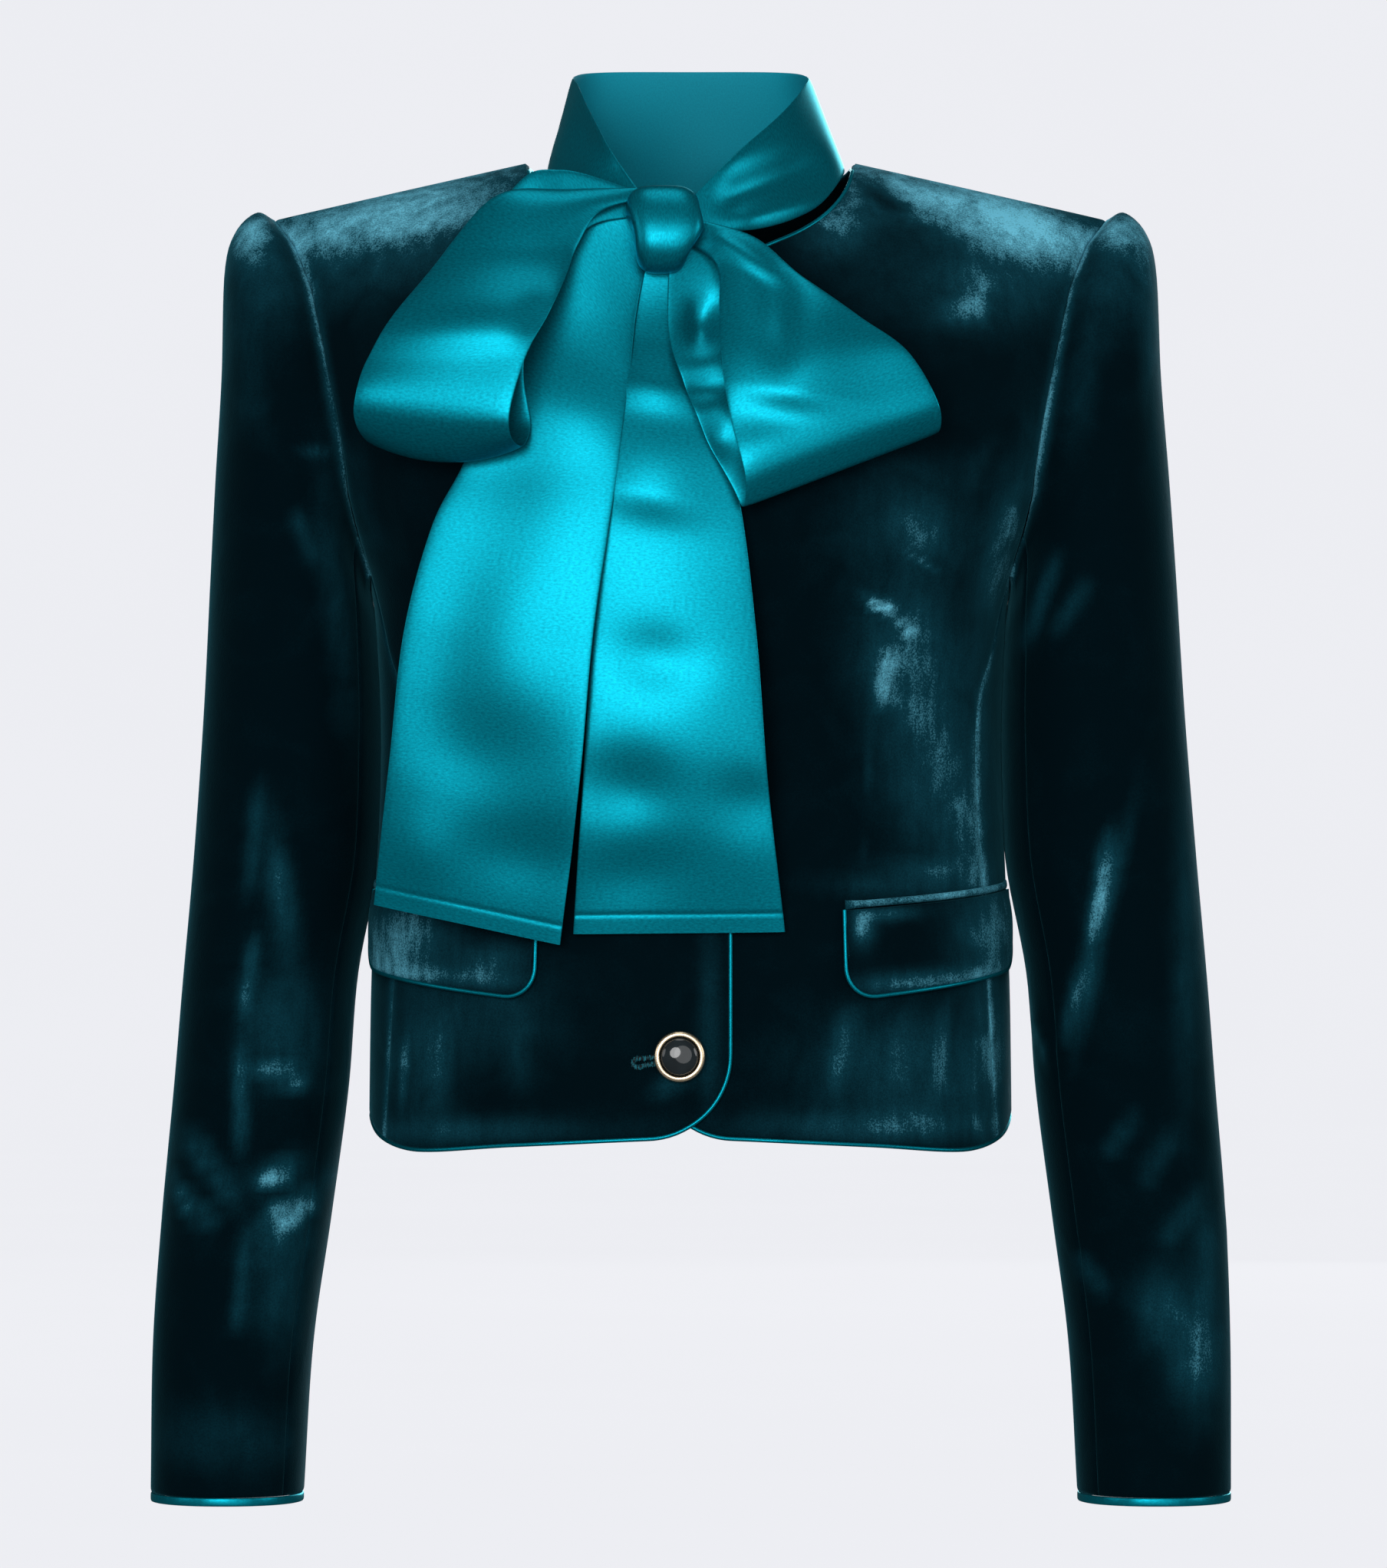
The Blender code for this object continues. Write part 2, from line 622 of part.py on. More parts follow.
def make_pockets(collection, velvet, satin):
    """A flap, its welt and its piping on each side."""
    angle, top, bottom = flap_places(FLAP_COLUMNS)
    share = np.linspace(0, 1, FLAP_ROWS)[:, None]
    z = bottom + (top - bottom) * share
    wide = np.broadcast_to(angle, z.shape)
    out = FLAP_OUT + FLAP_FLARE * (top - z) / FLAP_DEPTH_FRONT
    flap = moved_out(wide, z, out)
    strip = np.stack([top + SEAM_TRIM * 2, top + WELT_HEIGHT])
    welt = moved_out(np.broadcast_to(angle, strip.shape), strip, np.full(strip.shape, FLAP_OUT))
    edge_angle = np.concatenate([wide[:0:-1, 0], wide[0], wide[1:, -1]])
    edge_z = np.concatenate([z[:0:-1, 0], z[0], z[1:, -1]])
    edge_out = np.concatenate([out[:0:-1, 0], out[0], out[1:, -1]])
    edge = moved_out(edge_angle, edge_z, edge_out)
    path = edge_path(edge, torso_normal(edge_angle, edge_z), VELVET_WALL / 2)
    for side, turned in (("left", lambda grid: grid), ("right", mirrored)):
        cloth(collection, f"flap_{side}", turned(flap), velvet, VELVET_WALL)
        cloth(collection, f"welt_{side}", turned(welt), velvet, VELVET_WALL)
        piping(collection, f"piping_flap_{side}", turned(path[None])[0], satin)


def make_edge_piping(collection, satin):
    """Piping along the front edges and hem, the side and back hem, and the neckline."""
    angle, z = front_places()
    points = torso(angle, z)
    normals = torso_normal(angle, z)
    inset = points - normals * underlap(points[..., 0])[..., None]
    for side, grid, facing in (("left", inset, 1), ("right", points, -1)):
        edge = np.concatenate([grid[:0:-1, 0], grid[0]])
        edge_normals = np.concatenate([normals[:0:-1, 0], normals[0]])
        path = edge_path(edge, edge_normals, VELVET_WALL / 2)
        path = shortened(path, 2 * PIPING_RADIUS, SEAM_TRIM)
        piping(collection, f"piping_front_{side}", path * (facing, 1, 1), satin)
    side_angle, side_z = side_places()
    back_angle, back_z = back_places()
    hem_angle = np.concatenate([side_angle[0, :-1], back_angle[0], 2 * math.pi - side_angle[0, -2::-1]])
    hem_z = np.concatenate([side_z[0, :-1], back_z[0], side_z[0, -2::-1]])
    path = edge_path(torso(hem_angle, hem_z), torso_normal(hem_angle, hem_z), VELVET_WALL / 2)
    piping(collection, "piping_back_hem", shortened(path, SEAM_TRIM, SEAM_TRIM), satin)
    neck = len(FRONT_INNER_COLUMNS)
    inner_back = BACK_COLUMNS.index(BACK_NECK_SHARE)
    back_neck = slice(len(BACK_COLUMNS) - 1 - inner_back, len(BACK_COLUMNS) + inner_back)
    over = slice(0, neck)
    under = slice(int(np.argmax(points[-1, :, 0] > UNDERLAP_FULL)), neck)
    rim = [
        points[-1, over] * (-1, 1, 1),
        torso(back_angle, back_z)[-1, back_neck][-2:0:-1],
        inset[-1, under][::-1],
    ]
    rim_normals = [
        normals[-1, over] * (-1, 1, 1),
        torso_normal(back_angle, back_z)[-1, back_neck][-2:0:-1],
        normals[-1, under][::-1],
    ]
    path = edge_path(np.concatenate(rim), np.concatenate(rim_normals), VELVET_WALL / 2)
    piping(collection, "piping_neck", path, satin)


def turned_solid(collection, name, profile, closed, place, look):
    """A profile turned about the button's axis, which points forward."""
    mesh = bpy.data.meshes.new(name)
    shape = bmesh.new()
    corners = [shape.verts.new((radius, 0, height)) for radius, height in profile]
    for first, second in zip(corners, corners[1:] + corners[:1] if closed else corners[1:]):
        shape.edges.new((first, second))
    shape.to_mesh(mesh)
    shape.free()
    made = add_object(collection, name, mesh, look)
    screw = made.modifiers.new("Turned", "SCREW")
    screw.steps = screw.render_steps = BUTTON_STEPS
    screw.use_merge_vertices = True
    screw.merge_threshold = 0.1 * MM
    made.location = place
    made.rotation_euler = (math.pi / 2, 0, 0)
    return made


def make_button(collection, gold, stone):
    """A gold ring round a domed dark stone, fastened on the right front."""
    angle = torso_angle(np.array(BUTTON_X), np.array(BUTTON_Z))
    place = moved_out(angle, np.array(BUTTON_Z), BUTTON_STANDOFF)
    middle = (RING_OUTER + RING_INNER) / 2
    ring = (
        (middle, RING_HEIGHT),
        (RING_OUTER - 1.0 * MM, RING_HEIGHT * 0.8),
        (RING_OUTER, RING_HEIGHT * 0.4),
        (RING_OUTER, 0),
        (RING_INNER, 0),
        (RING_INNER, RING_HEIGHT * 0.7),
    )
    turned_solid(collection, "button_ring", ring, True, place, gold)
    radius = RING_INNER - SEAM_TRIM
    low = RING_HEIGHT * 0.3
    rise = np.radians((90, 72, 54, 36, 18, 0))
    dome = [(radius * math.cos(a), low + (STONE_HEIGHT - low) * math.sin(a)) for a in rise]
    dome[0] = (0, STONE_HEIGHT)
    turned_solid(collection, "button_stone", dome + [(radius, 0), (0, 0)], False, place, stone)


def make_tie(collection, satin):
    """The neck band, and a bow tied in front of it: a knot, two loops and two hanging tails."""
    shape = bmesh.new()
    bmesh.ops.create_uvsphere(shape, u_segments=KNOT_AROUND, v_segments=KNOT_UP, radius=1)
    for vertex in shape.verts:
        size = sum(abs(c) ** KNOT_POWER for c in vertex.co) ** (1 / KNOT_POWER)
        vertex.co = [middle + half * c / size for middle, half, c in zip(KNOT_CENTRE, KNOT_HALF, vertex.co)]
    mesh = bpy.data.meshes.new("knot")
    shape.to_mesh(mesh)
    shape.free()
    mesh.shade_smooth()
    add_object(collection, "knot", mesh, satin)
    for name, ribbon, steps in (
        ("neck_band", NECK_BAND, 31),
        ("loop_right", LOOP_RIGHT, 26),
        ("loop_left", LOOP_LEFT, 26),
        ("tail_right", TAIL_RIGHT, 17),
        ("tail_left", TAIL_LEFT, 17),
    ):
        cloth(collection, name, ribbon_grid(ribbon, steps), satin, SATIN_WALL, offset=0.0)


def main():
    for existing in list(bpy.data.objects):
        bpy.data.objects.remove(existing)
    collection = bpy.data.collections.new("Cropped velvet jacket")
    bpy.context.scene.collection.children.link(collection)
    velvet = material("Teal velvet", "0A2C36", 0.85)
    satin = material("Teal satin", "0A8FA0", 0.35)
    gold = material("Pale gold", "E2C7A0", 0.25, 1.0)
    stone = material("Dark stone", "10181C", 0.08)
    make_body(collection, velvet)
    make_sleeves(collection, velvet, satin)
    make_pockets(collection, velvet, satin)
    make_edge_piping(collection, satin)
    make_button(collection, gold, stone)
    make_tie(collection, satin)


main()
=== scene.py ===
"""Looks of a cropped velvet jacket with a satin neck tie, laid out as a Blender add-on and run as a script.

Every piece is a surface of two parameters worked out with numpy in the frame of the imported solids: metres,
+Z up, the front facing -Y, the wearer's right at -X.
"""

import math

import bpy
import numpy as np
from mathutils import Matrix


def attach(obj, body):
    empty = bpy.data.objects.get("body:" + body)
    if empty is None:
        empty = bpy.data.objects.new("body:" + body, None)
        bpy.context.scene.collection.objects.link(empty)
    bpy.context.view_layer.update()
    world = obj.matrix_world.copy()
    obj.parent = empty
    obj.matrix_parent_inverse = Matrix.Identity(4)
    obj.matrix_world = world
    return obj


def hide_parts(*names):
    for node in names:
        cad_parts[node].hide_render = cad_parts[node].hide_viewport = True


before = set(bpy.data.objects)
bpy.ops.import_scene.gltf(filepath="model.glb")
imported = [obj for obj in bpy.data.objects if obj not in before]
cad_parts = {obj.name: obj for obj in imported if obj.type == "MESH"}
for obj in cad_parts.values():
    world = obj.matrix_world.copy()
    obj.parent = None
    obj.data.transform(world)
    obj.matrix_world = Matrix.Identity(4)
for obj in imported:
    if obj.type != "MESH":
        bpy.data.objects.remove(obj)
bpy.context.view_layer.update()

bl_info = {
    "name": "Velvet jacket looks",
    "version": (1, 0, 0),
    "blender": (4, 5, 0),
    "location": "3D View > Sidebar > Jacket",
    "description": "Dresses the packed solids of a velvet jacket in velvet, satin, gold and stone",
    "category": "Object",
}

MM = 0.001
TINY = 1e-12  # keeps a length from being zero


def table(names, *rows):
    """The columns of a table in millimetres, by name, as arrays in metres."""
    return dict(zip(names.split(), np.array(rows, float).T * MM))


def rows_of(names, *rows):
    """The rows of a table as dicts by the names of its columns, in the units that its comment gives."""
    return [dict(zip(names.split(), row)) for row in rows]


# Sizes shared with the solids
SECTION_POWER = 2.4
SHOULDER_X = 198.0 * MM
NECK_X = 78.0 * MM
SHOULDER_FALL = 27.0 * MM
FRONT_NECK_DEPTH = 48.0 * MM
BACK_NECK_DEPTH = 14.0 * MM
ARMHOLE_CORNER_Z = -197.0 * MM
UNDERARM_DIP = 7.0 * MM
LAP = 18.0 * MM
UNDERLAP_INSET = 2.7 * MM
UNDERLAP_FROM = 44.0 * MM
UNDERLAP_FULL = 26.0 * MM
CORNER_WIDTH = 37.0 * MM
CORNER_HEIGHT = 39.0 * MM
FRONT_NECK_SHARE = (NECK_X + LAP) / (SHOULDER_X + LAP)
BACK_NECK_SHARE = NECK_X / SHOULDER_X
EDGE_PASSES = 8
HALVINGS = 34
SLEEVE_POWER = 2.2
CUFF_DROP = 4.0 * MM
FLAP_FRONT_X = 72.0 * MM
FLAP_BACK_ANGLE = math.radians(80)
FLAP_TOP_FRONT_Z = -354.0 * MM
FLAP_TOP_BACK_Z = -345.0 * MM
FLAP_DEPTH_FRONT = 41.0 * MM
FLAP_DEPTH_BACK = 36.0 * MM
FLAP_CORNER = 14.0 * MM
FLAP_OUT = 2.5 * MM
FLAP_FLARE = 1.5 * MM
WELT_HEIGHT = 4.5 * MM
BUTTON_X = -5.0 * MM
BUTTON_Z = -422.0 * MM
BUTTON_STANDOFF = 0.9 * MM
STONE_HEIGHT = 6.0 * MM

# Sizes of the scene's own
ARMHOLE_BLEND = 4.0  # sections over which a sleeve is drawn to the armhole
INNER_LEAN = 0.4  # share of a sleeve's lean that its inner side takes
SLEEVE_SEAM_SHARE = 0.11  # height of the sleeve's seams as a share of the armhole's
SLEEVE_LAST = 13.0  # row number of the cuff's section
WELT_GAP = 0.1 * MM
WELT_LOW = 2.1 * MM
WELT_END = 0.25  # the bulge of a welt dies away towards its ends below this height of a sine

# How finely the pieces are drawn, as points in each run
LOWER_ROWS = 60
UPPER_ROWS = 64
FRONT_COLUMNS = (42, 44)
BACK_COLUMNS = (26, 40)
SIDE_COLUMNS = 30
SLEEVE_ROWS = (36, 120)
SLEEVE_TOP_COLUMNS = 60
SLEEVE_UNDER_COLUMNS = 10
UNDERARM_COLUMNS = 40
FLAP_ROWS = 28
FLAP_COLUMNS = 72
WELT_ROWS = 14
FLAP_EDGE_POINTS = 120
FLAP_END_POINTS = 20
CUFF_POINTS = 60
CUFF_SIDES = 16
CORD_SIDES = 12
RIBBON_ROWS = 300
RIBBON_COLUMNS = 72
KNOT_ROWS = 61
KNOT_COLUMNS = 96
BUTTON_AROUND = 96
STONE_ROWS = 34
HOLE_POINTS = 180
STITCH_POINTS = 4
FLOOR_ROWS = (12, 30)
FLOOR_COLUMNS = 96

# One row for each section of the body, hem to shoulder ridge
TORSO = table(
    "height drop half_width front back",
    (-490, 0, 153, 105, 99),
    (-400, 0, 152, 104, 97),
    (-345, 0, 150, 102, 93),
    (-285, 0, 147.8, 100, 87),
    (-235, 0, 149, 108, 91),
    (-203, 0, 152, 113, 96),
    (-165, 2, 166, 116, 100),
    (-115, 8, 184, 107, 101),
    (-60, 20, 195, 83, 94),
    (-20, 32, 200, 59, 72),
    (5, 40, 201, 34, 42),
    (15.5, 43.6, 201, 13, 16),
    (17.55, 44.55, 201, 0, 0),
)
# The outer edges of the front and of the back: the armhole, then the seam to the side panel
FRONT_OUTER = table(
    "height x",
    (-490, 146), (-340, 138), (-285, 134.5), (-254, 136), (-235, 142), (-203, 149.5), (-165, 160),
    (-142, 163.5), (-100, 171), (-61, 179.5), (-40, 188), (-27, 198),
)
BACK_OUTER = table(
    "height x",
    (-490, 144), (-340, 137), (-285, 133), (-235, 140.5), (-203, 149.5), (-165, 158.5),
    (-142, 164), (-100, 174), (-61, 182.5), (-40, 189.5), (-27, 198),
)
HEM_DEGREES = (0, 30, 55, 72, 90, 125, 180)
HEM_HEIGHTS = np.array((-459, -463, -466, -461, -451, -453, -458)) * MM

# One row for each section of a sleeve, armhole to cuff, which lies closer than its solid to the body. The
# lean is how far the arm swings out on the wearer's left, and in on their right, from the even pair.
SLEEVE = table(
    "outer_x outer_z inner_x inner_z middle_y depth lean",
    (198, -27, 153.4, -204, -2, 56, 0),
    (206.5, -23.5, 152.4, -206, -2, 58, 0),
    (216.5, -33, 151.4, -209, -2, 59, 0),
    (221.5, -52, 150.4, -213, -2, 60, 0),
    (223, -100, 149.2, -220, -3, 61, 0.4),
    (226.5, -150, 148.2, -229, -3, 61, 0.9),
    (229.5, -200, 147.4, -241, -4, 60, 1.4),
    (233, -262, 146.6, -272, -4, 58, 1.8),
    (238, -330, 148.6, -330, -6, 55, 2.2),
    (243, -388, 158.6, -385, -9, 53, 2.2),
    (247, -440, 163, -440, -13, 51, 2),
    (252, -500, 170.8, -500, -17, 49, 1.6),
    (255, -560, 178.8, -560, -21, 46, 0.6),
    (255.5, -630, 183, -630, -24, 44, 0.2),
)

# Ribbons of the tie: the two edges of each section, and how far its middle stands out and hangs down
RIBBON_NAMES = "a_x a_y a_z b_x b_y b_z crown dip"
LOOP_RIGHT = table(
    RIBBON_NAMES,
    (-20, -101, -18, -22, -103, -23, 0, 0),
    (-56, -105, -19, -42, -109, -30, 2, 0),
    (-88, -108, -21, -52, -115, -45, 4, 0),
    (-110, -112, -43, -57.5, -121, -59, 5, 0),
    (-129.5, -117, -73.5, -66, -129, -80, 4, 0),
    (-145.5, -119, -99.5, -74, -133, -98, 2, 0),
    (-153.5, -122, -119, -82, -138, -127, 0, 2),
    (-150, -112, -136, -78.5, -128, -139, 0, 8),
    (-147, -102, -122, -74, -118, -129, 0, 5),
    (-122, -102, -85, -77, -114, -98, 0, 0),
    (-84, -101, -20, -62, -109, -56, 0, 0),
    (-60, -99, -9.5, -46, -103, -36, 0, 0),
    (-22, -97, -20, -20, -98, -31, 0, 0),
)
LOOP_LEFT = table(
    RIBBON_NAMES,
    (-4, -101, -42, -4, -101, -31, 0, 0),
    (12, -108, -54, 30, -105, -41, 2, 0),
    (13.5, -117, -75, 53, -114, -61, 3, 0),
    (14.5, -127, -99.5, 78, -121, -79, 3, 0),
    (18.5, -133, -126, 100.5, -125, -95, 2, 0),
    (25, -136, -153, 114.5, -124, -119, 0, 0),
    (24.5, -130, -167, 115, -116, -132, 0, 0),
    (19, -127, -157, 108, -107, -121, 0, 0),
    (7.5, -125, -135, 85, -104, -97, 0, 0),
    (-2, -121, -111, 55, -101, -75, 0, 0),
    (-10, -111, -86, 30, -99, -60, 0, 0),
    (-10, -101, -44, 0, -99, -42, 0, 0),
)
TAIL_RIGHT = table(
    RIBBON_NAMES,
    (-27, -97, -21, -19, -97, -46, 0, 0),
    (-58, -98, -38, -25, -103, -76, 1, 0),
    (-75, -103, -80, -28, -111, -105, 1, 0),
    (-92, -109, -115, -31.5, -118, -130, 1, 0),
    (-106, -111, -148, -34, -122, -152, 0, 0),
    (-120, -112, -176, -38.5, -125, -182, 0, 0),
    (-133, -111, -225, -45, -127, -228, 0, 0),
    (-140, -107, -285, -51, -124.5, -292, 0, 0),
    (-147.5, -93, -351.5, -60.5, -109.5, -370, 0, 0),
)
TAIL_LEFT = table(
    RIBBON_NAMES,
    (-20, -96, -42, -6, -96, -42, 0, 0),
    (-28, -101, -85, 4, -102, -90, 0, 0),
    (-34, -112, -120, 13, -114, -128, 0, 0),
    (-40, -119, -165, 23.5, -120, -168, 0, 0),
    (-45, -120, -225, 31, -121, -230, 1, 0),
    (-50, -118.5, -295, 36, -119.5, -295, 1, 0),
    (-54.5, -104.5, -365, 44, -105.5, -364, 0, 0),
)
NECK_BAND = table(
    RIBBON_NAMES,
    (-2, -97, -25, -2, -97, -38, 0, 0),
    (20, -84, -2, 31, -86, -36.5, 0, 0),
    (42, -56, 19, 57, -62, -26, 0, 0),
    (54, -22, 35, 72, -30, -8, 0, 0),
    (55, 8, 42, 69, 8, -3, 0, 0),
    (41, 37, 46, 49.5, 37, -11, 0, 0),
    (0, 48, 47, 0, 63.4, -18, 0, 0),
    (-41, 37, 46, -47.5, 37, -12, 0, 0),
    (-55, 8, 42, -65, 8, -4, 0, 0),
    (-53, -22, 35, -67, -30, -9, 0, 0),
    (-47, -54, 20, -58, -62, -24, 0, 0),
    (-38, -80, 1, -45, -84, -32, 0, 0),
    (-20, -96, -24, -20, -96, -36, 0, 0),
)

# The camera stands level with the middle of the jacket and looks along +Y
CAMERA_DISTANCE = 4.5
CAMERA_X = 1.46 * MM
CAMERA_Z = -295.3 * MM
VIEW_HEIGHT = 746.0 * MM  # of the upright plane through the origin that fills the picture

# How the cloth is drawn
PANEL_WALL = 2.0 * MM
SEAM_GAP = 0.03 * MM  # each piece stops this far short of the line of a seam
RIDGE_GAP = 0.0004 * MM  # in height, where the shoulder is almost level
ROLL_REACH = 2.4 * MM  # a sewn edge turns in over this distance
ROLL_DEPTH = 1.0 * MM
FADE_RATE = 3.0  # a fold fades over the first and last third of its length
FOLD_RATE = 0.6  # how fast a fold's trough passes into its ridges
SHINE_PLACE = 1.2  # a fold's painted highlight lies this many of its widths from its line
SHINE_SPREAD = 0.8
SEAM_HOLD = 9.0 * MM  # a seam holds the cloth flat over this distance
FACING_SOFTNESS = 0.3  # how gradually the front of a form passes into its back, as a share of the normal
GRADE = 0.85  # how strongly rows and columns close up towards the edges


def smooth(values, place):
    """A Catmull-Rom curve through a table's column, read at fractional row numbers."""
    place = np.clip(np.asarray(place, float), 0, len(values) - 1)
    row = np.minimum(place.astype(int), len(values) - 2)
    part = place - row
    ends = (2 * values[:1] - values[1:2], values, 2 * values[-1:] - values[-2:-1])
    before, start, end, after = (np.concatenate(ends)[row + step] for step in range(4))
    curve = 3 * (start - end) + after - before
    curve = 2 * before - 5 * start + 4 * end - after + part * curve
    return start + 0.5 * part * (end - before + part * curve)


def eased(share):
    """A share from 0 to 1 that leaves both ends gently: 3 s^2 - 2 s^3."""
    share = np.clip(share, 0, 1)
    return share * share * (3 - 2 * share)


def unit(vectors):
    """Vectors brought to a length of one."""
    return vectors / np.linalg.norm(vectors, axis=-1, keepdims=True)


def turns(count):
    """Angles at even steps round a circle."""
    return np.linspace(0, 2 * math.pi, count, endpoint=False)


def graded(count):
    """Shares from 0 to 1 that close up towards both ends: u less a part of sin(2 pi u) / (2 pi)."""
    u = np.linspace(0, 1, count)
    return u - GRADE * np.sin(2 * math.pi * u) / (2 * math.pi)


def runs(*parts):
    """Graded shares in runs that meet end to end, each given as its start, its end and its count."""
    pieces = [start + (end - start) * graded(count) for start, end, count in parts]
    return np.concatenate([pieces[0]] + [piece[1:] for piece in pieces[1:]])


def along(line, height):
    """The x of an outer edge at a height."""
    place = np.interp(height, line["height"], np.arange(len(line["height"])))
    return smooth(line["x"], place)


def torso_level(z, spread):
    """The row number of the body section that passes height z, found by halving its range."""
    low = np.zeros(np.shape(z))
    high = low + len(TORSO["height"]) - 1
    for _ in range(HALVINGS):
        level = (low + high) / 2
        height = smooth(TORSO["height"], level) - smooth(TORSO["drop"], level) * spread(level) / SHOULDER_X
        low = np.where(height < z, level, low)
        high = np.where(height < z, high, level)
    return (low + high) / 2


def torso_angle(x, z):
    """The angle from the centre front at which the body's front has this x and z."""
    level = torso_level(z, lambda level: np.abs(x))
    share = np.clip(np.abs(x) / smooth(TORSO["half_width"], level), 0, 1)
    return np.arcsin(share ** (SECTION_POWER / 2)) * np.sign(x)


def torso(angle, z):
    """Points of the body: superellipse sections, |x/w|^p + |y/d|^p = 1, by angle from the centre front."""
    across = np.abs(np.sin(angle)) ** (2 / SECTION_POWER)
    through = np.abs(np.cos(angle)) ** (2 / SECTION_POWER)
    level = torso_level(z, lambda level: across * smooth(TORSO["half_width"], level))
    x = np.sign(np.sin(angle)) * across * smooth(TORSO["half_width"], level)
    depth = np.where(np.cos(angle) > 0, -smooth(TORSO["front"], level), smooth(TORSO["back"], level))
    return np.stack([x, depth * through, z], axis=-1)


def torso_normal(angle, z):
    """Outward unit normals of the body: the cross product of a small step round it and one up it."""
    step = 0.5 * MM
    turn = step / TORSO["half_width"][0]
    around = torso(angle + turn, z) - torso(angle - turn, z)
    upward = torso(angle, z + step) - torso(angle, z - step)
    return unit(np.cross(around, upward))


def moved_out(angle, z, distance):
    """Points of the body moved out along its normals."""
    return torso(angle, z) + torso_normal(angle, z) * np.asarray(distance)[..., None]


def hem(angle):
    """The hem's height at an angle: a curve through the heights given round it."""
    place = np.interp(np.degrees(np.abs(angle)), HEM_DEGREES, np.arange(len(HEM_DEGREES)))
    return smooth(HEM_HEIGHTS, place)


def top_line(x, neck_depth):
    """The height of the neckline, a quarter ellipse, and past it of the straight shoulder seam."""
    x = np.abs(x)
    neckline = -neck_depth * np.sqrt(np.clip(1 - (x / NECK_X) ** 2, 0, 1))
    shoulder = -SHOULDER_FALL * (x - NECK_X) / (SHOULDER_X - NECK_X)
    return np.where(x < NECK_X, neckline, shoulder)


def panel_rows(bottom, top):
    """Heights of a panel's rows: from the hem to the armhole's corner, then to just below the top."""
    lower = graded(LOWER_ROWS)[:, None]
    upper = graded(UPPER_ROWS)[1:, None]
    top = top - RIDGE_GAP
    below = bottom + (ARMHOLE_CORNER_Z - bottom) * lower
    return np.concatenate([below, ARMHOLE_CORNER_Z + (top - ARMHOLE_CORNER_Z) * upper])


FRONT_SHARES = runs((0, FRONT_NECK_SHARE, FRONT_COLUMNS[0]), (FRONT_NECK_SHARE, 1, FRONT_COLUMNS[1]))
BACK_HALF = runs((0, BACK_NECK_SHARE, BACK_COLUMNS[0]), (BACK_NECK_SHARE, 1, BACK_COLUMNS[1]))
SIDE_SHARES = graded(SIDE_COLUMNS)


def front_places():
    """Angles and heights of the left front's grid, from its front edge to its outer edge."""

    def across(z):
        return -LAP + (along(FRONT_OUTER, z) - SEAM_GAP + LAP) * FRONT_SHARES

    top = np.zeros(len(FRONT_SHARES))
    bottom = top + HEM_HEIGHTS[0]
    for _ in range(EDGE_PASSES):
        top = top_line(across(top), FRONT_NECK_DEPTH)
        x = across(bottom)
        inside = np.clip(1 - (x + LAP) / CORNER_WIDTH, 0, 1)
        bottom = hem(torso_angle(x, bottom)) + CORNER_HEIGHT * (1 - np.sqrt(1 - inside**2))
    z = panel_rows(bottom, top)
    return torso_angle(across(z), z), z


def back_places():
    """Angles and heights of the back's grid, from the wearer's left side to their right."""
    share = np.concatenate([BACK_HALF[::-1], -BACK_HALF[1:]])

    def across(z):
        return (along(BACK_OUTER, z) - SEAM_GAP) * share

    top = np.zeros(len(share))
    bottom = top + HEM_HEIGHTS[-1]
    for _ in range(EDGE_PASSES):
        top = top_line(across(top), BACK_NECK_DEPTH)
        bottom = hem(math.pi - np.abs(torso_angle(across(bottom), bottom)))
    z = panel_rows(bottom, top)
    return math.pi - torso_angle(across(z), z), z


def side_places():
    """Angles and heights of the left side panel's grid, front to back, hem to underarm."""
    up = graded(LOWER_ROWS)[:, None]
    top = ARMHOLE_CORNER_Z - SEAM_GAP - UNDERARM_DIP * (1 - (2 * SIDE_SHARES - 1) ** 2)
    z = HEM_HEIGHTS[0] + (top - HEM_HEIGHTS[0]) * up
    for _ in range(EDGE_PASSES):
        front = torso_angle(along(FRONT_OUTER, z) + SEAM_GAP, z)
        back = math.pi - torso_angle(along(BACK_OUTER, z) + SEAM_GAP, z)
        angle = front + (back - front) * SIDE_SHARES
        bottom = hem(angle[0])
        z = bottom + (top - bottom) * up
    return angle, z


def underlap(x):
    """How far the left front is set in, so that it passes under the right one."""
    return UNDERLAP_INSET * eased((UNDERLAP_FROM - x) / (UNDERLAP_FROM - UNDERLAP_FULL))


def mirrored(grid):
    """The grid on the wearer's other side, its rows turned round so that its faces stay outward."""
    return grid[::-1] * (-1, 1, 1)


def armhole_edge(line, share):
    """Points of the armhole's front or back edge, at shares from its corner up to the shoulder."""
    z = ARMHOLE_CORNER_Z + (-SHOULDER_FALL - ARMHOLE_CORNER_Z) * share
    angle = torso_angle(along(line, z), z)
    return torso(math.pi - angle if line is BACK_OUTER else angle, z)


def armhole_under(share):
    """Points of the armhole's lower edge, from its back corner to its front corner."""
    z = ARMHOLE_CORNER_Z - UNDERARM_DIP * (1 - (2 * share - 1) ** 2)
    front = torso_angle(along(FRONT_OUTER, z), z)
    back = math.pi - torso_angle(along(BACK_OUTER, z), z)
    return torso(back + (front - back) * share, z)


def signed_power(values, power):
    """A power that keeps the sign."""
    return np.sign(values) * np.abs(values) ** power


def sleeve_frame(section, lean):
    """The middle, the half way to the outer end, the middle depth and the half depth of sections."""
    here = {name: smooth(values, section) for name, values in SLEEVE.items()}
    shift = here["lean"] * lean
    outer = np.stack([here["outer_x"] + shift, here["outer_z"]], axis=-1)
    inner = np.stack([here["inner_x"] + shift * INNER_LEAN, here["inner_z"]], axis=-1)
    return (outer + inner) / 2, (outer - inner) / 2, here["middle_y"], here["depth"]


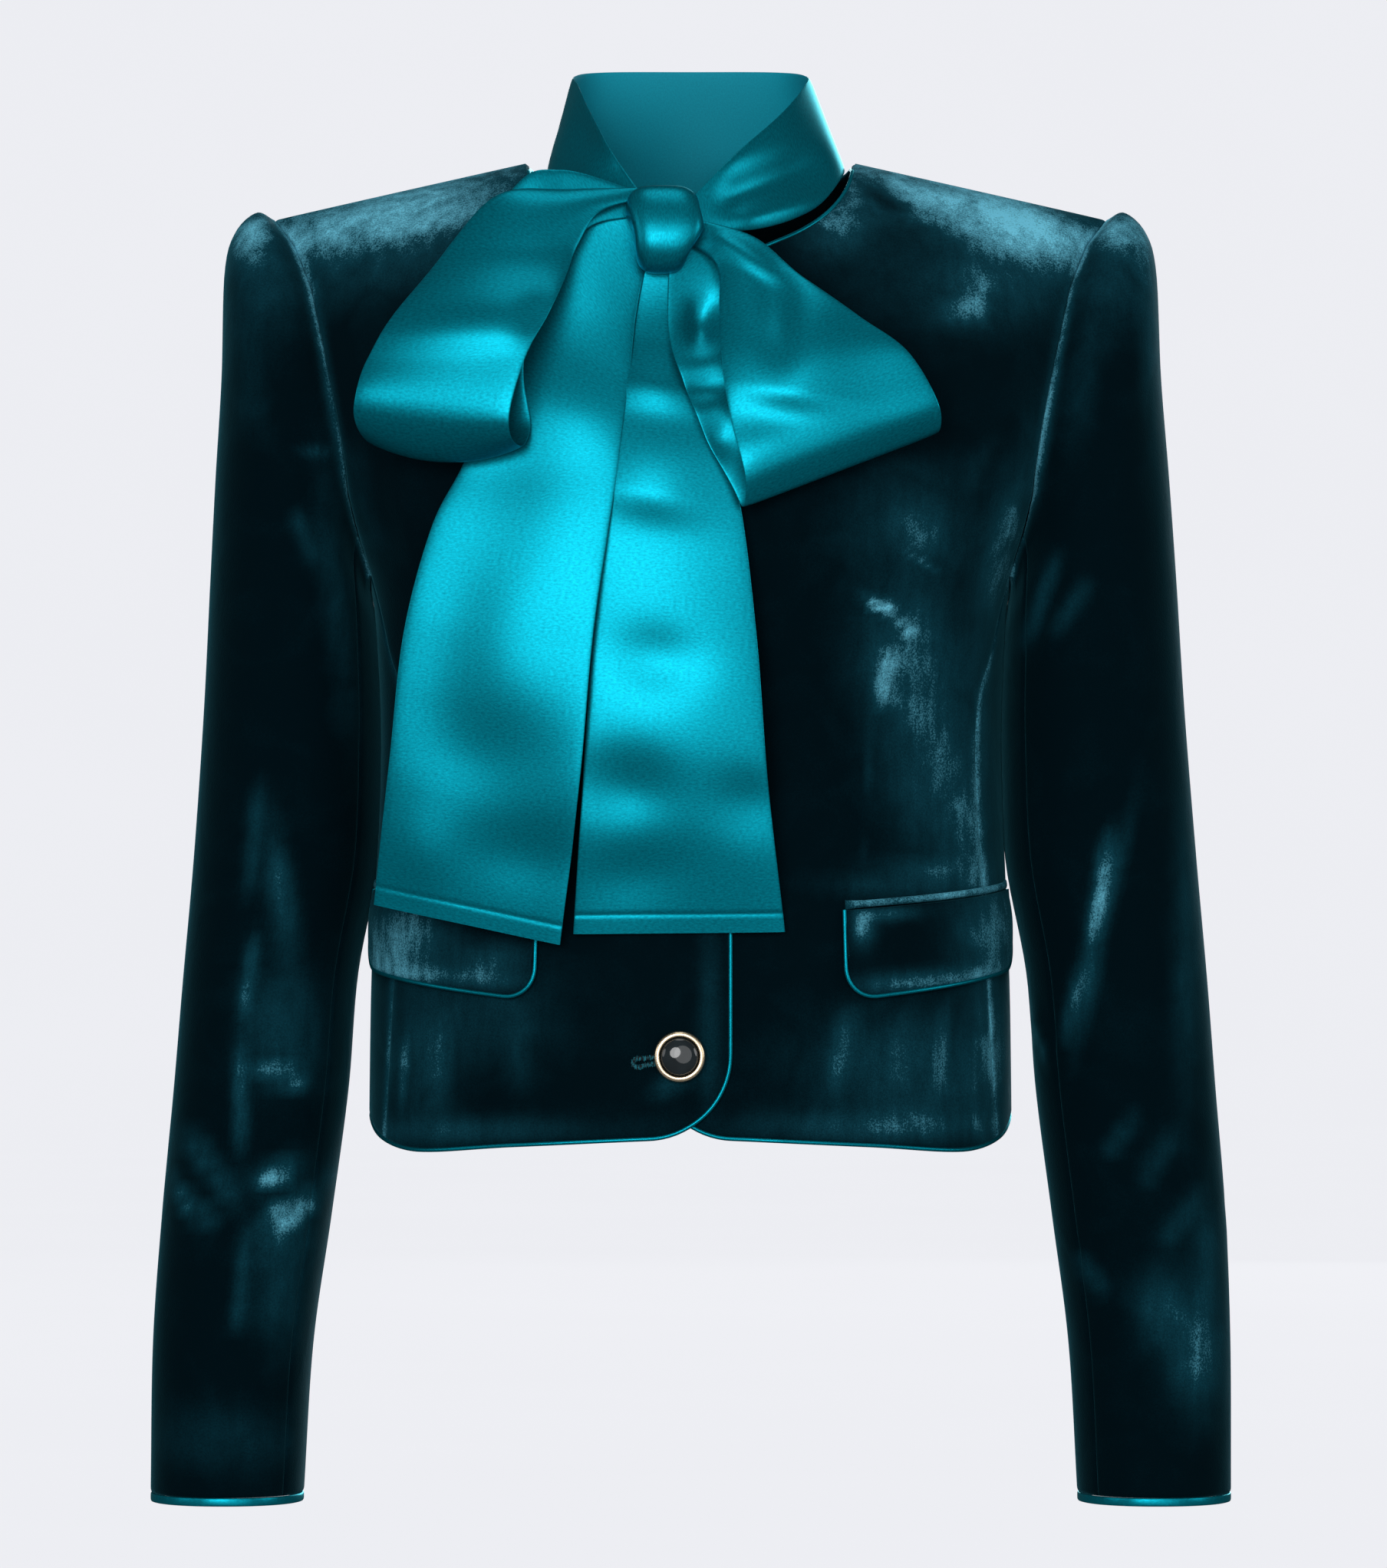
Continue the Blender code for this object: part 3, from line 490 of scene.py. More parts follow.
def sleeve_grid(loop, section, lean):
    """Rings of a left sleeve: superellipses by section, drawn to the armhole's loop over the first ones."""
    middle, half, middle_y, depth = sleeve_frame(np.zeros(1), lean)
    reach = ((loop[:, [0, 2]] - middle) * half).sum(axis=1) / (half**2).sum()
    side = (middle_y - loop[:, 1]) / depth
    turn = np.arctan2(signed_power(side, SLEEVE_POWER / 2), signed_power(reach, SLEEVE_POWER / 2))
    middle, half, middle_y, depth = sleeve_frame(section, lean)
    reach = signed_power(np.cos(turn), 2 / SLEEVE_POWER)
    xz = middle[:, None, :] + half[:, None, :] * reach[None, :, None]
    y = middle_y[:, None] - depth[:, None] * signed_power(np.sin(turn), 2 / SLEEVE_POWER)[None, :]
    rings = np.stack([xz[..., 0], y, xz[..., 1]], axis=-1)
    weight = np.clip(1 - section / ARMHOLE_BLEND, 0, 1) ** 2
    return rings + weight[:, None, None] * (loop - rings[0])[None]


def flap_places(share):
    """Angles, top and bottom heights of the left flap at shares of its length, its corners rounded."""
    top = FLAP_TOP_FRONT_Z + (FLAP_TOP_BACK_Z - FLAP_TOP_FRONT_Z) * share
    start = torso_angle(FLAP_FRONT_X, np.array(FLAP_TOP_FRONT_Z))
    angle = start + (FLAP_BACK_ANGLE - start) * share
    length = lengths_along(torso(angle, top)[:, None], 0)[:, 0]
    inside = np.clip(1 - np.minimum(length, length[-1] - length) / FLAP_CORNER, 0, 1)
    depth = FLAP_DEPTH_FRONT + (FLAP_DEPTH_BACK - FLAP_DEPTH_FRONT) * share
    return angle, top, top - depth + FLAP_CORNER * (1 - np.sqrt(1 - inside**2))


def ribbon_grid(ribbon, place, across):
    """A ribbon through a table's sections: rows along it, columns from its edge a to its edge b."""
    edge_a = np.stack([smooth(ribbon[name], place) for name in ("a_x", "a_y", "a_z")], axis=-1)
    edge_b = np.stack([smooth(ribbon[name], place) for name in ("b_x", "b_y", "b_z")], axis=-1)
    grid = edge_a[:, None] + (edge_b - edge_a)[:, None] * across[None, :, None]
    bow = 4 * across * (1 - across)
    grid[..., 1] -= smooth(ribbon["crown"], place)[:, None] * bow
    grid[..., 2] -= smooth(ribbon["dip"], place)[:, None] * bow
    return grid


def lengths_along(grid, axis):
    """Lengths along a grid's rows or columns from their start."""
    steps = np.linalg.norm(np.diff(grid, axis=axis), axis=-1)
    return np.cumsum(np.insert(steps, 0, 0, axis=axis), axis=axis)


def uv_of(grid):
    """A UV place for each point of a grid: its lengths across and up, in metres."""
    return np.stack([lengths_along(grid, 1), lengths_along(grid, 0)], axis=-1).reshape(-1, 2)


def normals_of(grid):
    """Unit normals of a grid: the cross product of its steps across and up."""
    normal = np.cross(np.gradient(grid, axis=1), np.gradient(grid, axis=0))
    return normal / np.maximum(np.linalg.norm(normal, axis=-1, keepdims=True), TINY)


def edge_distances(grid):
    """How far a grid's points are from each of its edges, along its rows and columns."""
    across = lengths_along(grid, 1)
    up = lengths_along(grid, 0)
    return {"start": across, "end": across[:, -1:] - across, "bottom": up, "top": up[-1:] - up}


def edge_roll(far, edges):
    """How far a sewn edge is turned in: a quarter circle over the last few millimetres before it."""
    nearest = np.min([far[name] for name in edges.split()], axis=0)
    near = np.clip(1 - nearest / ROLL_REACH, 0, 1)
    return ROLL_DEPTH * (1 - np.sqrt(1 - near**2))


def seen(points):
    """The x and z of points as the camera sees them on the upright plane through the origin, in mm."""
    near = CAMERA_DISTANCE / (CAMERA_DISTANCE + points[..., 1])
    x = CAMERA_X + (points[..., 0] - CAMERA_X) * near
    z = CAMERA_Z + (points[..., 2] - CAMERA_Z) * near
    return x / MM, z / MM


def facing(normals):
    """Weights of the front and of the back of a form, from how its normals face."""
    front = eased(0.5 - normals[..., 1] / (2 * FACING_SOFTNESS))
    return front, 1 - front


def folded(points, weights, folds):
    """Depth and painted highlight of folds seen from the front.

    Each is a trough along a straight line with a low ridge on both sides, (1 - 0.6 q^2) exp(-0.6 q^2) at q
    widths from the line, and fades out gently towards the line's ends. A painted highlight lies along one
    ridge.
    """
    depth = np.zeros(points.shape[:2])
    shine = np.zeros(points.shape[:2])
    x, z = seen(points)
    for fold in folds:
        run_x, run_z = fold["x2"] - fold["x1"], fold["z2"] - fold["z1"]
        length = math.hypot(run_x, run_z)
        part = ((x - fold["x1"]) * run_x + (z - fold["z1"]) * run_z) / length**2
        off = ((x - fold["x1"]) * run_z - (z - fold["z1"]) * run_x) / (length * fold["width"])
        fade = eased(FADE_RATE * np.minimum(part, 1 - part)) * weights[fold.get("side", 0)]
        square = FOLD_RATE * off**2
        depth += fade * fold["depth"] * MM * (1 - square) * np.exp(-square)
        shine += fade * fold["shine"] * np.exp(-((off - SHINE_PLACE) ** 2) / SHINE_SPREAD)
    return depth, shine


def draped(points, weights, drapes):
    """How far soft drapes stand out, as seen from the front.

    Each has a steep side along a line that sags in its middle. It rises across that line over the side's
    width, then falls away below it as exp(-q^2), with q the distance as a share of its reach.
    """
    height = np.zeros(points.shape[:2])
    x, z = seen(points)
    for drape in drapes:
        run_x, run_z = drape["x2"] - drape["x1"], drape["z2"] - drape["z1"]
        length = math.hypot(run_x, run_z)
        part = np.clip(((x - drape["x1"]) * run_x + (z - drape["z1"]) * run_z) / length**2, 0, 1)
        below = ((x - drape["x1"]) * run_z - (z - drape["z1"]) * run_x) / length
        below = below - drape["sag"] * 4 * part * (1 - part)
        fade = eased(FADE_RATE * np.minimum(part, 1 - part)) * weights[drape.get("side", 0)]
        away = np.maximum(below, 0) / drape["reach"]
        height += fade * drape["height"] * MM * eased(0.5 + below / drape["width"]) * np.exp(-(away**2))
    return height


def spotted(points, weights, spots):
    """Soft ellipses on the front view added up: strength times exp(-r^2), with a reach up and one down."""
    total = np.zeros(points.shape[:2])
    x, z = seen(points)
    for spot in spots:
        turn = math.radians(spot["turn"])
        right = (x - spot["x"]) * math.cos(turn) + (z - spot["z"]) * math.sin(turn)
        up = (z - spot["z"]) * math.cos(turn) - (x - spot["x"]) * math.sin(turn)
        tall = np.where(up > 0, spot["reach_up"], spot.get("reach_down", spot["reach_up"]))
        reach = np.hypot(right / spot["reach_x"], up / tall)
        total += spot["strength"] * np.exp(-(reach**2)) * weights[spot.get("side", 0)]
    return total


# Folds as the camera sees them, in millimetres on the upright plane through the origin: the line of each,
# its width and depth, the strength of the painted highlight on its ridge, and the side it is on, 0 in front
# and 1 behind. Here and in the tables below a row without a side is in front.
FOLD_NAMES = "x1 z1 x2 z2 width depth shine side"
FRONT_LEFT_FOLDS = rows_of(
    FOLD_NAMES,
    (88.7, -222, 82.9, -345, 0.8, 0.9, 0.15),
    (84, -205.5, 97.5, -212.2, 2.4, 1.3, 0.9),
    (100, -180.7, 122, -195, 1.6, 0.7, 0.25),
    (96.4, -215, 110, -223, 2.2, 0.9, 0.5),
    (100, -226, 98, -264, 5, 1.3, 0.6),
    (102.6, -273, 133, -335, 9, 1.4, 0.1),
    (152, -130, 134, -166, 6, 1.6, 0.1),
    (84, -398, 74, -452, 6, 1.6, 0.3),
    (128, -396, 122, -452, 5, 1.3, 0.3),
    (106, -400, 102, -446, 4, 1, 0.2),
    (60, -70, 120, -150, 18, 1.6, 0),
)
FRONT_RIGHT_FOLDS = rows_of(
    FOLD_NAMES,
    (-88.7, -222, -82.9, -345, 0.8, 0.9, 0.15),
    (-157, -122, -139, -202, 8, 1.6, 0.1),
    (-132.5, -408, -136, -458, 2, 0.9, 0.3),
    (-113, -396, -115, -456, 5, 1.1, 0.2),
    (-73, -392, -75, -450, 6, 1, 0.1),
    (-120, -60, -100, -150, 16, 1.5, 0),
)
BACK_FOLDS = rows_of(
    FOLD_NAMES,
    (-64, -290, -54, -452, 14, 2.4, 0.1, 1),
    (58, -275, 66, -450, 13, 2.2, 0.1, 1),
    (6, -310, 2, -455, 18, 1.6, 0, 1),
    (-165, -120, -110, -215, 9, 2, 0.2, 1),
    (162, -125, 116, -205, 8, 2.2, 0.2, 1),
    (-120, -250, -70, -268, 7, 1.4, 0.1, 1),
    (118, -262, 80, -272, 6, 1.2, 0.1, 1),
)
SIDE_FOLDS = rows_of(
    FOLD_NAMES,
    (146, -225, 143, -300, 4, 0.3, 0.2),
    (-146, -230, -144, -310, 4, 0.3, 0.2),
)
SLEEVE_RIGHT_FOLDS = rows_of(
    FOLD_NAMES,
    (-200, -288, -206, -356, 4, 1.2, 0.3),
    (-202.9, -362, -209.5, -416, 3.5, 1.8, 0.4),
    (-209.5, -410, -208.8, -480, 4, 2, 0.4),
    (-205.9, -503, -211.7, -563, 4, 1.7, 0.3),
    (-212, -428.5, -177, -435.5, 3, 2.4, 0.7),
    (-209, -481.8, -187, -474.6, 3, 2, 0.6),
    (-206, -497.6, -188.5, -490, 2.6, 1.6, 0.4),
    (-205, -508.6, -176, -488.6, 3.6, 2.7, 0.7),
    (-240, -450, -205.5, -497, 6, 2.2, 0.3),
    (-248, -480, -217, -504, 5, 2, 0.25),
    (-184, -158, -171, -193, 5, 1.7, 0.2),
    (-205, -60, -196, -140, 9, 1.6, 0.1),
    (-236, -436, -196, -455, 5, 2.4, 0.4, 1),
    (-241, -468, -200, -478, 4, 2.1, 0.3, 1),
    (-246, -500, -206, -497, 5, 1.8, 0.2, 1),
    (-196, -190, -176, -240, 6, 1.8, 0.2, 1),
)
SLEEVE_LEFT_FOLDS = rows_of(
    FOLD_NAMES,
    (205.5, -310, 193, -386, 4, -1.7, 0.7),
    (194, -372, 181.5, -425, 4, -1.6, 0.5),
    (181.5, -181, 160, -240, 4, 1.9, 0.25),
    (198, -198, 174, -231, 5, 1.5, 0.2),
    (161, -397, 174, -431, 2.5, -1.3, 0.4),
    (182.5, -512, 206, -537, 5, 1.6, 0.2),
    (242, -461, 217, -494, 6, 1.9, 0.2),
    (253, -490, 228, -523, 6, 1.7, 0.25),
    (189, -471, 211, -446, 5, 1.4, 0.2),
    (206, -58, 190, -150, 9, 1.7, 0.1),
    (234, -440, 198, -452, 5, 2.3, 0.4, 1),
    (244, -474, 202, -486, 4, 2.2, 0.3, 1),
    (238, -408, 190, -415, 5, 1.6, 0.2, 1),
    (197, -185, 174, -235, 6, 1.9, 0.2, 1),
)
TAIL_RIGHT_FOLDS = rows_of(
    FOLD_NAMES,
    (-46, -70, -70, -230, 26, -1.6, 0),
    (-100, -172, -128, -300, 22, 1.2, 0),
)
TAIL_LEFT_FOLDS = rows_of(
    FOLD_NAMES,
    (-10, -70, -4, -340, 40, -2, 0),
)
LOOP_RIGHT_FOLDS = rows_of(
    FOLD_NAMES,
    (-60, -40, -120, -100, 9, 2, 0, 1),
)
LOOP_LEFT_FOLDS = rows_of(
    FOLD_NAMES,
    (-10, -151, 150, -104, 14, -2, 0),
    (2, -30, 50, -58, 5, -1.5, 0),
)
NECK_BAND_FOLDS = rows_of(
    FOLD_NAMES,
    (2, -22, 70, 4, 9, 3, 0),
    (4, -32, 76, -14, 6, -1.4, 0),
    (-28, -16, -58, 26, 8, 2, 0),
)

# Drapes as the camera sees them, in millimetres: the line of the steep side and how far it sags, the
# side's width, how far the drape reaches beyond it, how high it stands, and the layer that it is on
DRAPE_NAMES = "x1 z1 x2 z2 sag width reach height side"
LOOP_RIGHT_DRAPES = rows_of(
    DRAPE_NAMES,
    (-280, -66, 60, -60, 0, 46, 90, 11),
)

# Swells and dents as the camera sees them, in millimetres: middle, reach to the sides, up and down, turn and
# height of soft ellipses, and the layer that each is on
SWELL_NAMES = "x z reach_x reach_up reach_down turn strength side"
TAIL_RIGHT_SWELLS = rows_of(
    SWELL_NAMES,
    (-92, -222, 36, 44, 44, 10, 2.4),
    (-98, -283, 32, 24, 24, 10, -2.6),
    (-78, -330, 30, 18, 18, -8, -2),
    (-128, -328, 16, 18, 18, 0, 1.4),
)
TAIL_LEFT_SWELLS = rows_of(
    SWELL_NAMES,
    (-15, -106, 24, 44, 11, -12, 3.4),
    (-16, -156, 30, 46, 14, -10, 4.4),
    (-16, -236, 22, 16, 16, -8, -2.4),
    (-30, -298, 26, 18, 18, -6, -3.2),
    (29, -304, 20, 16, 16, -12, -2.4),
    (-28, -338, 24, 16, 16, 10, -1.6),
)
LOOP_RIGHT_SWELLS = rows_of(
    SWELL_NAMES,
    (-73, -76, 10, 10, 10, 0, -2),
)
LOOP_LEFT_SWELLS = rows_of(
    SWELL_NAMES,
    (41, -70, 11, 25, 25, 6, -3.6),
    (51, -108, 26, 44, 10, -8, 4.6),
    (5, -75, 9, 14, 14, 0, -5, 1),
    (6, -106, 14, 8, 8, 0, -3.2, 1),
    (14, -131, 8, 10, 10, 15, -2.6, 1),
)

# The tie's ribbons, with the row number at which a loop turns back and how each is held
TIE = rows_of(
    "node ribbon folds swells drapes turn held",
    ("neck_band", NECK_BAND, NECK_BAND_FOLDS, (), (), None, "folded"),
    ("loop_right", LOOP_RIGHT, LOOP_RIGHT_FOLDS, LOOP_RIGHT_SWELLS, LOOP_RIGHT_DRAPES, 6.5, "folded"),
    ("loop_left", LOOP_LEFT, LOOP_LEFT_FOLDS, LOOP_LEFT_SWELLS, (), 5.6, "folded"),
    ("tail_right", TAIL_RIGHT, TAIL_RIGHT_FOLDS, TAIL_RIGHT_SWELLS, (), None, "hung"),
    ("tail_left", TAIL_LEFT, TAIL_LEFT_FOLDS, TAIL_LEFT_SWELLS, (), None, "hung"),
)

# Painted sheen on the velvet, as the camera sees it: in part the pile crushed bright, in part painted
# highlights where light falls, as on the tops of the shoulders; a strength below zero takes the sheen away
# again in a line of painted shade. Middle, reach, turn and strength of soft ellipses, which reach as far down
# as up
SHEEN_SPOT_NAMES = "x z reach_x reach_up turn strength side"
BODY_NAP_AND_PAINTED_SHEEN = rows_of(
    SHEEN_SPOT_NAMES,
    (130, -20, 70, 12, -16, 1.1),
    (161, -33, 24, 13, -12, 0.6),
    (70, -27, 18, 14, 30, 0.55),
    (142, -54, 46, 20, 0, 0.34),
    (128, -71, 11, 6, 0, 0.42),
    (137, -63, 6, 9, 0, 0.3),
    (88, -14, 9, 5, -20, -0.6),
    (99, -20, 9, 4, -10, -0.4),
    (109, -176, 11, 8, -20, 0.4),
    (108, -172, 30, 24, -20, 0.26),
    (90, -209.5, 9, 3, -30, 0.6),
    (151, -180, 9, 46, -14, 0.5),
    (104, -232, 20, 24, 0, 0.28),
    (117, -275, 24, 64, 16, 0.4),
    (132, -318, 8, 26, 14, 0.3),
    (112, -340, 36, 6, 3, 0.45),
    (110, -430, 46, 26, 0, 0.34),
    (95, -458, 60, 7, 0, 0.42),
    (143, -411, 10, 50, 0, 0.36),
    (-144, -21, 70, 13, 16, 1.05),
    (-120, -27, 34, 6, 10, 0.3),
    (-148, -42, 62, 18, 12, 0.34),
    (-131, -424, 16, 36, 0, 0.3),
    (-95, -404, 28, 22, 0, 0.24),
    (-110, -460, 60, 6, 0, 0.32),
    (9, -405, 5, 42, 0, 0.2),
    (-8, -437, 11, 5, 30, 0.32),
    (152, -9.5, 56, 2.4, -15.5, -1.5),
    (-150, -9.5, 54, 2.2, 15.5, -1.1),
    (0, -10, 210, 24, 0, 0.95, 1),
    (-90, -120, 60, 50, 20, 0.34, 1),
    (70, -230, 56, 70, -20, 0.36, 1),
    (-110, -330, 36, 80, 0, 0.34, 1),
    (20, -446, 130, 16, 0, 0.4, 1),
)
# Painted sheen on the sleeves: painted highlights on the sleeve heads, along creases and at the elbows, in
# part crushed pile
SLEEVE_NAP_AND_PAINTED_SHEEN = rows_of(
    SHEEN_SPOT_NAMES,
    (-208, -33, 9, 14, -28, 0.85),
    (-203, -52, 20, 26, 0, 0.26),
    (-168, -207, 7, 60, 6, 0.2),
    (-179, -137, 7, 2.4, 0, 0.3),
    (-195, -346, 6, 28, 10, 0.46),
    (-193, -411, 18, 24, 0, 0.32),
    (-190, -432.6, 15, 2.2, -7, 0.6),
    (-197, -481, 12, 6, 15, 0.5),
    (-190, -496, 18, 4.6, 32, 0.5),
    (-192, -512, 14, 12, 20, 0.3),
    (-168, -480, 7, 5, 45, 0.4),
    (-243, -490, 2.4, 13, 24, 0.3),
    (-196, -536, 12, 26, 0, 0.26),
    (-220, -606, 34, 14, 0, 0.14),
    (203, -31, 15, 10, -24, 0.85),
    (200, -52, 22, 22, 0, 0.26),
    (219, -72, 5, 46, 3, 0.34),
    (166, -134, 4, 26, -8, 0.4),
    (201, -340, 4, 30, -15, 0.34),
    (190, -394, 3.4, 26, -13, 0.28),
    (236, -378, 6, 62, 0, 0.24),
    (241, -566, 12, 24, 0, 0.5),
    (223, -543, 12, 16, 0, 0.34),
    (246, -522, 6, 26, 0, 0.28),
    (-214, -40, 30, 24, 0, 0.7, 1),
    (214, -40, 30, 24, 0, 0.7, 1),
    (-214, -450, 26, 46, 0, 0.36, 1),
    (214, -460, 26, 42, 0, 0.36, 1),
)
# Painted sheen on the pocket flaps: painted highlights, in part crushed pile
FLAP_NAP_AND_PAINTED_SHEEN = rows_of(
    SHEEN_SPOT_NAMES,
    (143, -366, 15, 24, 0, 0.62),
    (117, -389, 36, 5, 4, 0.62),
    (82, -363, 5, 8, 0, 0.7),
    (95, -357, 14, 3.4, 4, 0.45),
    (-138, -366, 22, 17, 0, 0.62),
    (-146, -380, 12, 9, -30, 0.5),
    (-96, -380, 20, 8, 0, 0.36),
    (-117, -387, 40, 5, -4, 0.5),
)
# Painted highlights along the welts
WELT_NAP_AND_PAINTED_SHEEN = rows_of(
    SHEEN_SPOT_NAMES,
    (112, -346, 60, 9, 5, 0.85),
    (-112, -346, 60, 9, -5, 0.85),
)

SHARP_ANGLE = math.radians(55)
CORD_STEP = 1.2 * MM
CUFF_WALL = 1.5 * MM
CUFF_POWER = 0.6  # how square the section of the cuff's edge is
UV_NAME = "cloth"
PAINTED_SHEEN_LIMIT = 1.5
# A painted highlight along the seams that hold a panel: how far it reaches, and how strong it is on the body
# and on the sleeves
SEAM_HIGHLIGHT_REACH = 3.6 * MM
BODY_SEAM_HIGHLIGHT = 0.3
SLEEVE_SEAM_HIGHLIGHT = 0.6
SEAM_ALLOWANCE = 4.5 * MM  # how far the inner face reaches under the next panel
# The points of each edge of a panel, and the points next to them
EDGES = {
    "start": (np.s_[:, 0], np.s_[:, 1]),
    "end": (np.s_[:, -1], np.s_[:, -2]),
    "bottom": (np.s_[0], np.s_[1]),
    "top": (np.s_[-1], np.s_[-2]),
}
PIPING_GAP = -0.3 * MM  # the cord is sunk a little into the edge that it is sewn into
RIBBON_EDGE_POWER = 8
RIBBON_GRADE = 1.5  # how strongly the rows of a tail close up towards its hem
HEM_GROOVE = 0.3 * MM
HEM_LINE = 0.13  # width of the hem's pressed line as a share of its height


def quads_of(rows, columns, around=False, over=False):
    """Faces of a grid of points: around joins its last column to its first, and over its last row."""
    index = np.arange(rows * columns).reshape(rows, columns)
    if around:
        index = np.concatenate([index, index[:, :1]], axis=1)
    if over:
        index = np.concatenate([index, index[:1]], axis=0)
    corners = [index[:-1, :-1], index[:-1, 1:], index[1:, 1:], index[1:, :-1]]
    return np.stack(corners, axis=-1).reshape(-1, 4)


def volume_of(points, faces):
    """Six times the signed volume inside faces: the sum of a . (b x c) over a fan of triangles in each."""
    total = 0.0
    for part in faces:
        for second in range(1, part.shape[1] - 1):
            a, b, c = points[part[:, 0]], points[part[:, second]], points[part[:, second + 1]]
            total += (a * np.cross(b, c)).sum()
    return total


def make_object(name, points, faces, uv, look, nap_and_painted_sheen=None):
    """A mesh object from points, arrays of faces with three or four corners, and a UV for each point."""
    if volume_of(points, faces) < 0:
        faces = [part[:, ::-1] for part in faces]
    corners = np.concatenate([part.ravel() for part in faces]).astype(np.int32)
    sizes = np.concatenate([np.full(len(part), part.shape[1]) for part in faces])
    mesh = bpy.data.meshes.new(name)
    mesh.vertices.add(len(points))
    mesh.vertices.foreach_set("co", points.astype(np.float32).ravel())
    mesh.loops.add(len(corners))
    mesh.loops.foreach_set("vertex_index", corners)
    mesh.polygons.add(len(sizes))
    mesh.polygons.foreach_set("loop_start", (np.cumsum(sizes) - sizes).astype(np.int32))
    mesh.update(calc_edges=True)
    if mesh.validate():
        raise RuntimeError(f"{name} has faces that don't fit together")
    layer = mesh.uv_layers.new(name=UV_NAME)
    layer.uv.foreach_set("vector", uv[corners].astype(np.float32).ravel())
    # The velvet's painted sheen and painted shade, in part crushed pile, as a value at each point for its
    # material
    if nap_and_painted_sheen is not None:
        lit_and_brushed = mesh.attributes.new("nap_and_painted_sheen", "FLOAT", "POINT")
        lit_and_brushed.data.foreach_set("value", nap_and_painted_sheen.astype(np.float32).ravel())
    mesh.shade_smooth()
    mesh.set_sharp_from_angle(angle=SHARP_ANGLE)
    mesh.materials.append(look)
    made = bpy.data.objects.new(name, mesh)
    bpy.context.scene.collection.objects.link(made)
    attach(made, "root")
    return made


def cut_of(grid):
    """The width, the length and the area of cloth in a grid, measured along its surface."""
    width = lengths_along(grid, 1)[:, -1].max()
    length = lengths_along(grid, 0)[-1].max()
    first = np.cross(grid[1:, 1:] - grid[:-1, :-1], grid[1:, :-1] - grid[:-1, 1:])
    return float(width), float(length), float(np.linalg.norm(first, axis=-1).sum() / 2)


def declare(node, grid):
    """Works out the cut of cloth in a piece's plain form, and hides the solid that the piece stands for."""
    width, length, area = cut_of(grid)
    area = min(area, width * length)
    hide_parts(node)


def wall_object(name, grid, edges, look, folds=(), spots=(), held="start end", sewn="", seam_highlight=0.0):
    """A panel of velvet.

    The grid is pressed in by its folds, except near the seams that hold it, and at its rolled edges. An
    inner face lies a wall's thickness below it along the normals, and reaches under the next panel at a
    sewn edge. A rim joins the two. A painted highlight runs along the seams that hold it, exp(-q^2), and
    joins the folds' painted highlights and the spots' painted sheen in the colour of the pile.
    """
    plain = normals_of(grid)
    weights = facing(plain)
    far = edge_distances(grid)
    from_seam = np.min([far[border] for border in held.split()], axis=0)
    depth, shine = folded(grid, weights, folds)
    base = grid - plain * (depth * eased(from_seam / SEAM_HOLD))[..., None]
    normals = normals_of(base)
    outer = base - normals * edge_roll(far, edges)[..., None]
    inner = base - normals * PANEL_WALL
    for border in sewn.split():
        edge, step = EDGES[border]
        run = base[edge] - base[step]
        inner[edge] += SEAM_ALLOWANCE * run / np.linalg.norm(run, axis=-1, keepdims=True)
    rows, columns = grid.shape[:2]
    count = rows * columns
    outside = quads_of(rows, columns)
    index = np.arange(count).reshape(rows, columns)
    rim = np.concatenate([index[0, :-1], index[:-1, -1], index[-1, :0:-1], index[:0:-1, 0]])
    ahead = np.roll(rim, -1)
    faces = [outside, outside[:, ::-1] + count, np.stack([rim + count, ahead + count, ahead, rim], axis=1)]
    uv = uv_of(base)
    # A painted highlight along the held seams, on the front of the form
    shine = shine + seam_highlight * np.exp(-((from_seam / SEAM_HIGHLIGHT_REACH) ** 2)) * weights[0]
    # Painted sheen: the spots' painted highlights and shade with the painted highlights of ridges and seams
    nap_and_painted_sheen = np.clip(spotted(grid, weights, spots) + shine, 0, PAINTED_SHEEN_LIMIT).ravel()
    points = np.concatenate([outer.reshape(-1, 3), inner.reshape(-1, 3)])
    both = np.concatenate([uv, uv])
    return make_object(name, points, faces, both, look, np.concatenate([nap_and_painted_sheen, np.zeros(count)]))


def flipped(edges):
    """The edges of a panel after its rows are turned round."""
    return edges.replace("top", "low").replace("bottom", "top").replace("low", "bottom")


def capped_tube(name, rings, look):
    """A closed skin over rings of points, row after row, with a fan of triangles over each end."""
    rows, columns = rings.shape[:2]
    count = rows * columns
    middle = np.stack([rings[0].mean(axis=0), rings[-1].mean(axis=0)])
    here = np.arange(columns)
    ahead = np.roll(here, -1)
    last = count - columns
    first_fan = np.stack([np.full(columns, count), ahead, here], axis=1)
    last_fan = np.stack([np.full(columns, count + 1), last + here, last + ahead], axis=1)
    faces = [quads_of(rows, columns, around=True), first_fan, last_fan]
    uv = uv_of(rings)
    points = np.concatenate([rings.reshape(-1, 3), middle])
    return make_object(name, points, faces, np.concatenate([uv, uv[[0, -1]]]), look)


def resampled(path, side, step):
    """A path and its side directions read again at even steps of its length."""
    length = lengths_along(path[:, None], 0)[:, 0]
    even = np.linspace(0, length[-1], max(int(length[-1] / step), 2))
    place = np.interp(even, length, np.arange(len(path)))
    row = np.minimum(place.astype(int), len(path) - 2)
    part = (place - row)[:, None]
    return [values[row] + (values[row + 1] - values[row]) * part for values in (path, side)]


def cord_object(name, path, side, radius, look):
    """A cord: circles of its radius carried along a path, square to it."""
    path, side = resampled(path, side, CORD_STEP)
    run = unit(np.gradient(path, axis=0))
    up = unit(np.cross(run, side))
    out = np.cross(up, run)
    turn = turns(CORD_SIDES)[None, :, None]
    rings = path[:, None] + radius * (np.cos(turn) * out[:, None] + np.sin(turn) * up[:, None])
    return capped_tube(name, rings, look)


def edge_path(points, normals, radius):
    """A line just outside a panel's edge and half way through its wall, for piping sewn into the edge."""
    outward = unit(np.cross(np.gradient(points, axis=0), normals))
    return points + outward * (radius + PIPING_GAP) - normals * (PANEL_WALL / 2)


